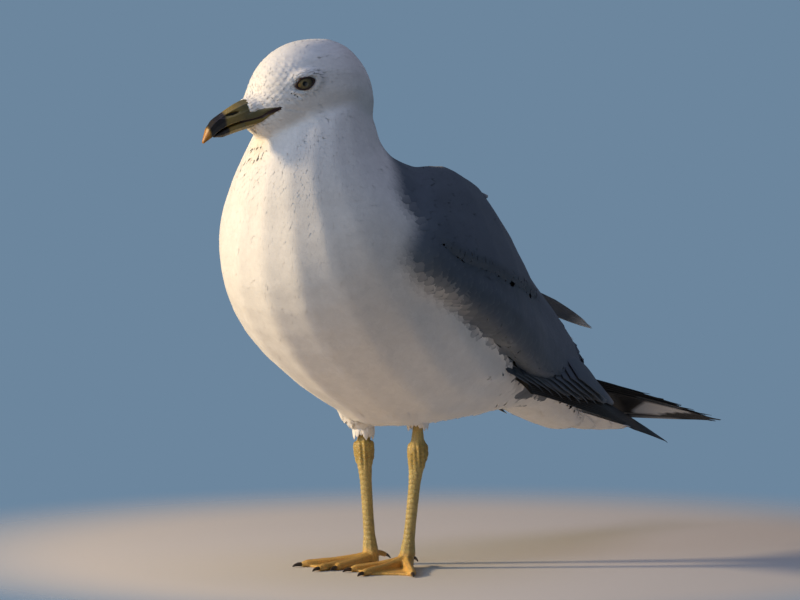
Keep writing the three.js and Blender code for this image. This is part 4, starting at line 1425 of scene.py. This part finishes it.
class GULL_OT_shape_mouth(Operator):
    """The bare corners of the mouth, where the bill runs back into the cheeks"""
    bl_idname = "gull.shape_mouth"
    bl_label = "Shape mouth corners"

    def execute(self, context):
        look = context.scene.gull_bare
        upper, lower, line = tint(look.bill_base), tint(look.bill), tint(look.mouth)
        material = horn_material("soft_mouth_corner_skin", 0.42, 2.0, 0.2)
        ahead = np.linspace(8.6, -13.8, 64)
        across = np.linspace(0, 1, 25)
        top, low, seam = (along_bill(table, ahead) for table in (GAPE_TOP, GAPE_LOW, GAPE_LINE))
        out = along_bill(GAPE_OUT, ahead)
        for _ in range(6):
            out[1:-1] = (out[:-2] + out[1:-1] * 2 + out[2:]) / 4
        height = mix(top[:, None] + 0.45, low[:, None] - 0.45, across)
        off = height - seam[:, None]
        half = 0.5 + 0.45 * ramp(ahead, 1, -5) * ramp(ahead, -13.5, -9)
        groove = np.exp(-(off / half[:, None]) ** 2)
        swell = 0.55 * np.sin(math.pi * across)[None] ** 0.6 * ramp(ahead, 9, 3)[:, None]
        level = out[:, None] + swell - 0.75 * groove
        level = level - 1.3 * np.abs(across * 2 - 1)[None] ** 8
        paint = mix(upper[None, None] * 0.9, lower[None, None] * 0.75,
                    ramp(off, 0.6, -0.8)[..., None])
        paint = mix(paint, line[None, None], ramp(groove, 0.15, 0.5)[..., None])
        rows, columns = len(ahead), len(across)
        for name, side in SIDES.items():
            skin_side = bill_place(ahead[:, None, None], height[..., None], (level * side)[..., None])
            inner = bill_place(ahead[:, None, None], height[..., None],
                               ((level - 2.4) * side)[..., None])
            points = np.concatenate([skin_side, inner[:, ::-1]], 1)
            colours = np.concatenate([paint, paint[:, ::-1] * 0.5], 1)
            flat = points.reshape(-1, 3)
            quads, _ = turned_out(flat - flat.mean(0), shell_faces(1, rows, columns))
            piece = mesh_piece(f"{name}_mouth_corner", flat, quads, colours=colours.reshape(-1, 3),
                               material=material)
            fit_out(piece, "bill_horn")
        return {"FINISHED"}


PUPIL_EDGE, IRIS_EDGE = (1.35, 1.65), (4.0, 4.3)     # where each fades, mm from the eye's axis


class GULL_OT_set_eyes(Operator):
    """Eyeballs with their irises, and the dark rings of lid round them"""
    bl_idname = "gull.set_eyes"
    bl_label = "Set eyes"

    def execute(self, context):
        look = context.scene.gull_bare
        ball, rim = eye_material(), rim_material()
        iris, pupil, white, ring = (tint(c) for c in (
            look.iris, look.pupil, look.sclera, look.eye_ring))
        for name in SIDES:
            self.eyeball(name, ball, iris, pupil, white)
            self.eyelids(name, rim, ring)
        return {"FINISHED"}

    def eyeball(self, name, material, iris, pupil, white):
        """A closed ball with a streaked iris that darkens towards its rim, and painted shade of the
        lids over its upper front.
        """
        rows, columns = 44, 56
        out, forward, above = eye_axes(name)
        centre = EYE_PLACE[name] - out * BALL_BACK
        angle = np.linspace(0, math.pi, rows)[1:-1]
        turn = np.linspace(0, math.tau, columns, endpoint=False)
        radius = BALL_RADIUS - 0.1 + 0.25 * ramp(angle, 0.6, 0.1)
        circle = forward[None] * np.cos(turn)[:, None] + above[None] * np.sin(turn)[:, None]
        rings = (out * np.cos(angle)[:, None, None] + circle[None] * np.sin(angle)[:, None, None])
        points = centre + rings * radius[:, None, None]
        points = np.concatenate([points.reshape(-1, 3), [centre + out * (BALL_RADIUS + 0.15)],
                                 [centre - out * BALL_RADIUS]])
        angle_each = np.append(np.repeat(angle, columns), [0, math.pi])
        turn_each = np.append(np.tile(turn, rows - 2), [0, 0])
        streaks = 1 + 0.14 * np.sin(turn_each * 31) * np.sin(turn_each * 17 + 2)
        size = np.sin(angle_each) * BALL_RADIUS
        paint = mix(pupil[None], iris[None] * streaks[:, None], ramp(size, *PUPIL_EDGE)[:, None])
        # Painted shade: the lids' shadow darkens the iris over its upper front. The lesser darkening
        # towards the rim is the iris's own darker ring.
        painted_lid_shade = ramp(np.cos(turn_each - 0.9), -0.5, 0.9)
        paint = paint * (1 - (0.35 + 0.45 * painted_lid_shade) * ramp(size, 1.2, 3.9))[:, None]
        paint = mix(paint, white[None], ramp(size, *IRIS_EDGE)[:, None])
        quads = band_faces(rows - 2, columns, mirrored=True)
        j = np.arange(columns)
        nxt = (j + 1) % columns
        top, low, last = (rows - 2) * columns, (rows - 2) * columns + 1, (rows - 3) * columns
        tris = np.concatenate([np.stack([np.full(columns, top), j, nxt], 1),
                               np.stack([np.full(columns, low), last + nxt, last + j], 1)])
        quads, tris = turned_out(points - centre, quads, tris)
        piece = mesh_piece(f"{name}_eyeball", points, quads, tris, paint, material=material)
        fit_out(piece, "eye", f"{name}_eye")

    def eyelids(self, name, material, ring):
        """A thin dark ring of lid round an almond-shaped opening."""
        out, forward, above = eye_axes(name)
        columns, rows = 112, 12
        turn = np.linspace(0, math.tau, columns, endpoint=False)
        spin = np.linspace(0, math.tau, rows, endpoint=False)
        across = np.where(np.cos(turn) > 0, LID_FRONT, LID_REAR) * np.cos(turn)
        rise = LID_HIGH * np.sign(np.sin(turn)) * np.abs(np.sin(turn)) ** 1.3
        rim = forward * across[:, None] + above * rise[:, None]
        course = unit(np.roll(rim, -1, 0) - np.roll(rim, 1, 0))
        outward = unit(np.cross(course, out))
        outward = outward * np.sign((outward * rim).sum(1))[:, None]
        corner = np.abs(np.cos(turn)) ** 8
        flat = np.linalg.norm(rim, axis=1)
        middle = EYE_PLACE[name] + rim + out * (ball_level(flat) + 0.02 + 0.15 * corner)[:, None]
        thick = 0.42 + 0.06 * np.sin(9 * turn) * np.sin(5 * turn)
        broad = 0.5 + 0.35 * corner
        points = (middle[:, None]
                  + outward[:, None] * (np.cos(spin)[None] * broad[:, None])[..., None]
                  + out * (np.sin(spin)[None] * thick[:, None])[..., None])
        points = points.reshape(-1, 3)
        quads = band_faces(columns + 1, rows, mirrored=True) % len(points)
        quads, _ = turned_out(points - EYE_PLACE[name], quads)
        tone = mix(0.55, 1.9, ramp(np.cos(spin), 0.1, 0.9))
        tone = (np.ones(columns)[:, None] * tone).ravel()
        piece = mesh_piece(f"{name}_eyelids", points, quads,
                           colours=ring[None] * tone[:, None], material=material)
        fit_out(piece, "leg_skin")


ANKLE_KNOB, ANKLE_TONE = 61, 62          # levels of the ankle's knob and of its darkest skin
SCUTE_HEIGHT = 2.7                       # of one plate down the shank's front, mm


class GULL_OT_shape_legs(Operator):
    """Scaled shanks, knobbly ankles and webbed feet"""
    bl_idname = "gull.shape_legs"
    bl_label = "Shape legs"

    def execute(self, context):
        look = context.scene.gull_bare
        leg, web, joint = tint(look.leg), tint(look.web), tint(look.leg_joint)
        material = leg_material()
        for name in SIDES:
            points, faces = fused([node_shape(f"{name}_shank", 0.05), node_shape(f"{name}_foot", 0.05)],
                                  0.5)
            edges = edges_of(faces)
            points = relaxed(points, edges, 6)
            points = relaxed(points, edges, 110, ramp(points[:, 2], 9, 15))
            normals = point_normals(points, faces)
            x, y, z = points.T
            knob = ramp(np.abs(z - ANKLE_KNOB), 11, 4)
            knob = knob * 0.4 * np.sin(x * 1.9 + z) * np.sin(y * 1.7 - z * 0.8)
            front = ramp(-normals[:, 1], 0.1, 0.8)
            along = z / SCUTE_HEIGHT + 0.12 * np.sin(x * 1.3)
            plate = np.abs((along % 1) - 0.5) * 2
            scutes = front * ramp(z, 9, 13) * ramp(z, 58, 52)
            lift = scutes * (0.22 * ramp(plate, 1.0, 0.5) - 0.1)
            floor_free = ramp(z, 0.5, 2.0)
            points = points + normals * ((lift + knob) * floor_free)[:, None]
            thin = ramp(z, 5.5, 2.5) * ramp(np.abs(normals[:, 2]), 0.75, 0.95)
            paint = mix(leg[None], web[None], np.maximum(0.6 * thin, ramp(z, 11, 5))[:, None])
            paint = mix(paint, joint[None], (0.7 * ramp(np.abs(z - ANKLE_TONE), 9, 3))[:, None])
            paint = mix(paint, joint[None] * 0.6, (0.5 * scutes * ramp(plate, 0.6, 1.0))[:, None])
            piece = mesh_piece(f"{name}_leg", points, faces, colours=paint, material=material)
            fit_out(piece, "leg_skin", f"{name}_shank", f"{name}_foot")
        return {"FINISHED"}


class GULL_OT_shape_claws(Operator):
    """The eight dark claws"""
    bl_idname = "gull.shape_claws"
    bl_label = "Shape claws"

    def execute(self, context):
        claw = tint(context.scene.gull_bare.claw)
        material = horn_material("keratin_claws", 0.3, 1.0, 0.25)
        for name in SIDES:
            nodes = [f"{name}_{toe}_claw" for toe in ("inner", "middle", "outer", "hind")]
            points, faces = fused([node_shape(node) for node in nodes], 0.2)
            points = relaxed(points, edges_of(faces), 6)
            paint = claw[None] * mix(0.8, 1.5, ramp(points[:, 2], 0, 3))[:, None]
            piece = mesh_piece(f"{name}_claws", points, faces, colours=paint, material=material)
            fit_out(piece, "claw_horn", *nodes)
        return {"FINISHED"}


# ---------------------------------------------------------------- stage

# Each light's name, its turn to the camera's left and its height in degrees, its
# distance and size in metres, the setting that holds its power, and its linear colour.
LIGHTS = (
    ("key_light", 84, 18, 1.7, 0.16, "key", (1.0, 0.75, 0.43)),
    ("wide_fill", 55, 20, 1.7, 1.0, "fill", (0.43, 0.7, 1.0)),
    ("warm_bounce", 45, -8, 1.2, 0.9, "bounce", (1.0, 0.52, 0.08)),
    ("side_bounce", -35, -5, 1.4, 1.0, "side", (0.85, 0.9, 1.0)),
    ("overhead", 0, 85, 1.6, 1.4, "overhead", (0.78, 0.72, 1.0)),
)
SENSOR_WIDTH = 36
AIM_RIGHT, AIM_UP = 6.48, 144.7          # where the camera aims, in mm from the ankle line's middle


class GULL_OT_set_stage(Operator):
    """Pale floor, soft studio lights and the camera"""
    bl_idname = "gull.set_stage"
    bl_label = "Set stage"

    def execute(self, context):
        stage = context.scene.gull_stage
        scene = context.scene
        scene.view_settings.view_transform = "Standard"
        self.floor(stage)
        world = bpy.data.worlds.new("studio_walls")
        world.use_nodes = True
        surround = world.node_tree.nodes["Background"]
        surround.inputs["Color"].default_value = (*tint(stage.backdrop), 1)
        surround.inputs["Strength"].default_value = stage.ambient
        scene.world = world
        turn, tip = math.radians(stage.azimuth), math.radians(stage.elevation)
        right = Vector((math.cos(turn), math.sin(turn), 0))
        forward = Vector((-math.sin(turn) * math.cos(tip), math.cos(turn) * math.cos(tip),
                          -math.sin(tip)))
        up = right.cross(forward)
        target = Vector(to_row((0, 0, 0))) + right * AIM_RIGHT * MM + up * AIM_UP * MM
        lens = bpy.data.cameras.new("camera")
        lens.sensor_width = SENSOR_WIDTH
        lens.lens = SENSOR_WIDTH * stage.distance / stage.frame_width
        lens.clip_start, lens.clip_end = 10.0, 150.0
        camera = bpy.data.objects.new("camera", lens)
        camera.matrix_world = Matrix.LocRotScale(
            target - forward * stage.distance, forward.to_track_quat("-Z", "Y"), None)
        scene.collection.objects.link(camera)
        scene.camera = camera
        self.backdrop(stage, target + forward * stage.distance * 2, right, up)
        middle = Vector((0, 0, 0.15))
        near = Vector((-forward.x, -forward.y, 0)).normalized()
        for label, turned, raised, away, size, power, colour in LIGHTS:
            data = bpy.data.lights.new(label, "AREA")
            data.shape, data.size, data.color = "DISK", size, colour
            data.energy = getattr(stage, power)
            light = bpy.data.objects.new(label, data)
            turned, raised = math.radians(turned), math.radians(raised)
            level = near * math.cos(turned) - right * math.sin(turned)
            place = middle + (level * math.cos(raised) + Vector((0, 0, math.sin(raised)))) * away
            light.matrix_world = Matrix.LocRotScale(
                place, (middle - place).to_track_quat("-Z", "Y"), None)
            scene.collection.objects.link(light)
        return {"FINISHED"}

    def backdrop(self, stage, middle, right, up):
        """An evenly lit plain sheet, far enough behind the bird to walk round it."""
        half_wide, half_high, number = 0.9, 0.7, 9
        shares = np.linspace(-1, 1, number)
        spots = [to_bird(middle + right * half_wide * a + up * half_high * b)
                 for b in shares for a in shares]
        quads = band_faces(number, number, closed=False)
        material, _, shader = new_material("plain_backdrop_paper")
        shader.inputs["Base Color"].default_value = (0.0, 0.0, 0.0, 1)
        shader.inputs["Roughness"].default_value = 1.0
        shader.inputs["Specular IOR Level"].default_value = 0.0
        shader.inputs["Emission Color"].default_value = (*tint(stage.backdrop), 1)
        shader.inputs["Emission Strength"].default_value = 1.0
        mesh_piece("backdrop", np.array(spots), quads, material=material)

    def floor(self, stage):
        """A flat pale disc that fades into the backdrop."""
        rings, sides, outer = 12, 96, 620
        radius = np.linspace(0, 1, rings + 1)[1:] * outer
        turn = np.linspace(0, math.tau, sides, endpoint=False)
        points = np.concatenate([[(0, 0, 0)], np.stack([
            radius[:, None] * np.cos(turn), radius[:, None] * np.sin(turn),
            np.zeros((rings, sides))], -1).reshape(-1, 3)]) + (0, ANKLE_LINE, 0)
        j = np.arange(sides)
        nxt = (j + 1) % sides
        quads = 1 + band_faces(rings, sides, mirrored=True)
        tris = np.stack([np.zeros(sides, int), 1 + j, 1 + nxt], 1)
        material, tree, shader = new_material("pale_matt_floor")
        place = add_node(tree, "ShaderNodeTexCoord").outputs["Object"]
        reach = add_node(tree, "ShaderNodeVectorMath", {"operation": "LENGTH"}, {0: place})
        fade = add_node(tree, "ShaderNodeMapRange", {"From Min": 0.2, "From Max": 0.36, "To Min": 1.0,
                                                     "To Max": 0.0, "interpolation_type": "SMOOTHSTEP"},
                        {"Value": reach.outputs["Value"]})
        grain = object_noise(tree, 3.0, 4.0)
        dress(tree, shader, ((grain, 0.96, 1.03),), (grain, 0.8, 0.95), (grain, 0.2, 0.2), {})
        tree.links.new(fade.outputs["Result"], shader.inputs["Alpha"])
        colours = np.tile(tint(stage.floor), (len(points), 1))
        mesh_piece("floor", points, quads, tris, colours, material=material)


# ---------------------------------------------------------------- settings

def colour_setting(name, description, code):
    """A colour that a user can change, from its hex code."""
    return FloatVectorProperty(name=name, description=description, subtype="COLOR", size=3,
                               min=0, max=1, default=tuple(srgb(code)))


def power_setting(name, description, watts):
    """A light's power that a user can change."""
    return FloatProperty(name=name, description=description, default=watts, min=0, unit="POWER")


class GullPlumage(PropertyGroup):
    """Colours and coat of the plumage"""
    white: colour_setting("White", "White plumage of head, body and tail", "#E9E7E4")
    grey: colour_setting("Grey", "Grey of mantle and wings", "#535D69")
    black: colour_setting("Black", "Black of the primaries", "#262422")
    coat_depth: FloatProperty(name="Coat depth", description="Depth of the body's coat over the skin",
                              default=3.4 * MM, min=0.001, max=0.008, unit="LENGTH")
    spacing: FloatProperty(name="Spacing", description="Spacing of feathers, 1 is the finished coat",
                           default=1.0, min=0.5, max=4)


class GullBareParts(PropertyGroup):
    """Colours of bill, eyes, legs and claws"""
    bill: colour_setting("Bill", "Yellow of the bill", "#8A7636")
    bill_base: colour_setting("Bill base", "Olive base of the bill", "#5E5838")
    bill_band: colour_setting("Bill band", "Black band near the bill's tip", "#1C1612")
    bill_tip: colour_setting("Bill tip", "Orange-yellow tip of the bill", "#A36C1C")
    mouth: colour_setting("Mouth line", "Dark line of the closed mouth", "#2A0F0C")
    iris: colour_setting("Iris", "Iris", "#6F6446")
    pupil: colour_setting("Pupil", "Pupil", "#050506")
    sclera: colour_setting("Eyeball", "Eyeball outside the iris", "#1B1512")
    eye_ring: colour_setting("Eye ring", "Bare ring of skin round the eye", "#341A14")
    leg: colour_setting("Legs", "Yellow of legs and feet", "#C0AB6C")
    leg_joint: colour_setting("Ankle", "Darker skin of ankles and creases", "#AE934C")
    web: colour_setting("Web", "Webs between the toes", "#DDAE5E")
    claw: colour_setting("Claws", "Dark brown claws", "#2A1E17")


class GullStage(PropertyGroup):
    """Floor, camera and lights"""
    floor: colour_setting("Floor", "Pale floor", "#CFCAC6")
    backdrop: colour_setting("Backdrop", "Plain backdrop", "#6C869E")
    azimuth: FloatProperty(name="Azimuth", description="Camera's turn round the bird, in degrees",
                           default=36.0)
    elevation: FloatProperty(name="Elevation", description="Camera's height, in degrees",
                             default=6.0)
    distance: FloatProperty(name="Distance", description="Camera's distance from the bird",
                            default=15.0, unit="LENGTH")
    frame_width: FloatProperty(name="Frame width", description="Width of the view at the bird",
                               default=0.432, unit="LENGTH")
    ambient: FloatProperty(name="Ambient", description="Strength of the light from all round",
                           default=0.3, min=0)
    key: power_setting("Key", "Power of the warm key light", 31.2)
    fill: power_setting("Fill", "Power of the wide fill", 9.8)
    bounce: power_setting("Bounce", "Power of the low warm bounce", 2.6)
    side: power_setting("Side", "Power of the low light from the tail's side", 1.0)
    overhead: power_setting("Overhead", "Power of the light from above", 5.8)


STEPS = (
    GULL_OT_grow_skin, GULL_OT_lay_white_coat, GULL_OT_lay_grey_coat, GULL_OT_fold_wings,
    GULL_OT_fold_primaries, GULL_OT_close_tail, GULL_OT_shape_bill, GULL_OT_shape_mouth,
    GULL_OT_set_eyes, GULL_OT_shape_legs, GULL_OT_shape_claws, GULL_OT_set_stage,
)


class VIEW3D_PT_gull(Panel):
    """Settings and steps of the gull"""
    bl_label = "Ring-billed gull"
    bl_space_type = "VIEW_3D"
    bl_region_type = "UI"
    bl_category = "Gull"

    def draw(self, context):
        for group in (context.scene.gull_plumage, context.scene.gull_bare, context.scene.gull_stage):
            box = self.layout.box()
            for name in group.bl_rna.properties.keys():
                if name not in ("rna_type", "name"):
                    box.prop(group, name)
        for step in STEPS:
            self.layout.operator(step.bl_idname)


CLASSES = (GullPlumage, GullBareParts, GullStage, *STEPS, VIEW3D_PT_gull)


def register():
    for cls in CLASSES:
        bpy.utils.register_class(cls)
    bpy.types.Scene.gull_plumage = PointerProperty(type=GullPlumage)
    bpy.types.Scene.gull_bare = PointerProperty(type=GullBareParts)
    bpy.types.Scene.gull_stage = PointerProperty(type=GullStage)


def unregister():
    del bpy.types.Scene.gull_stage, bpy.types.Scene.gull_bare, bpy.types.Scene.gull_plumage
    for cls in reversed(CLASSES):
        bpy.utils.unregister_class(cls)


def main():
    """Makes the bird and its stage."""
    register()
    for step in STEPS:
        group, action = step.bl_idname.split(".")
        getattr(getattr(bpy.ops, group), action)()


if __name__ == "__main__":
    main()
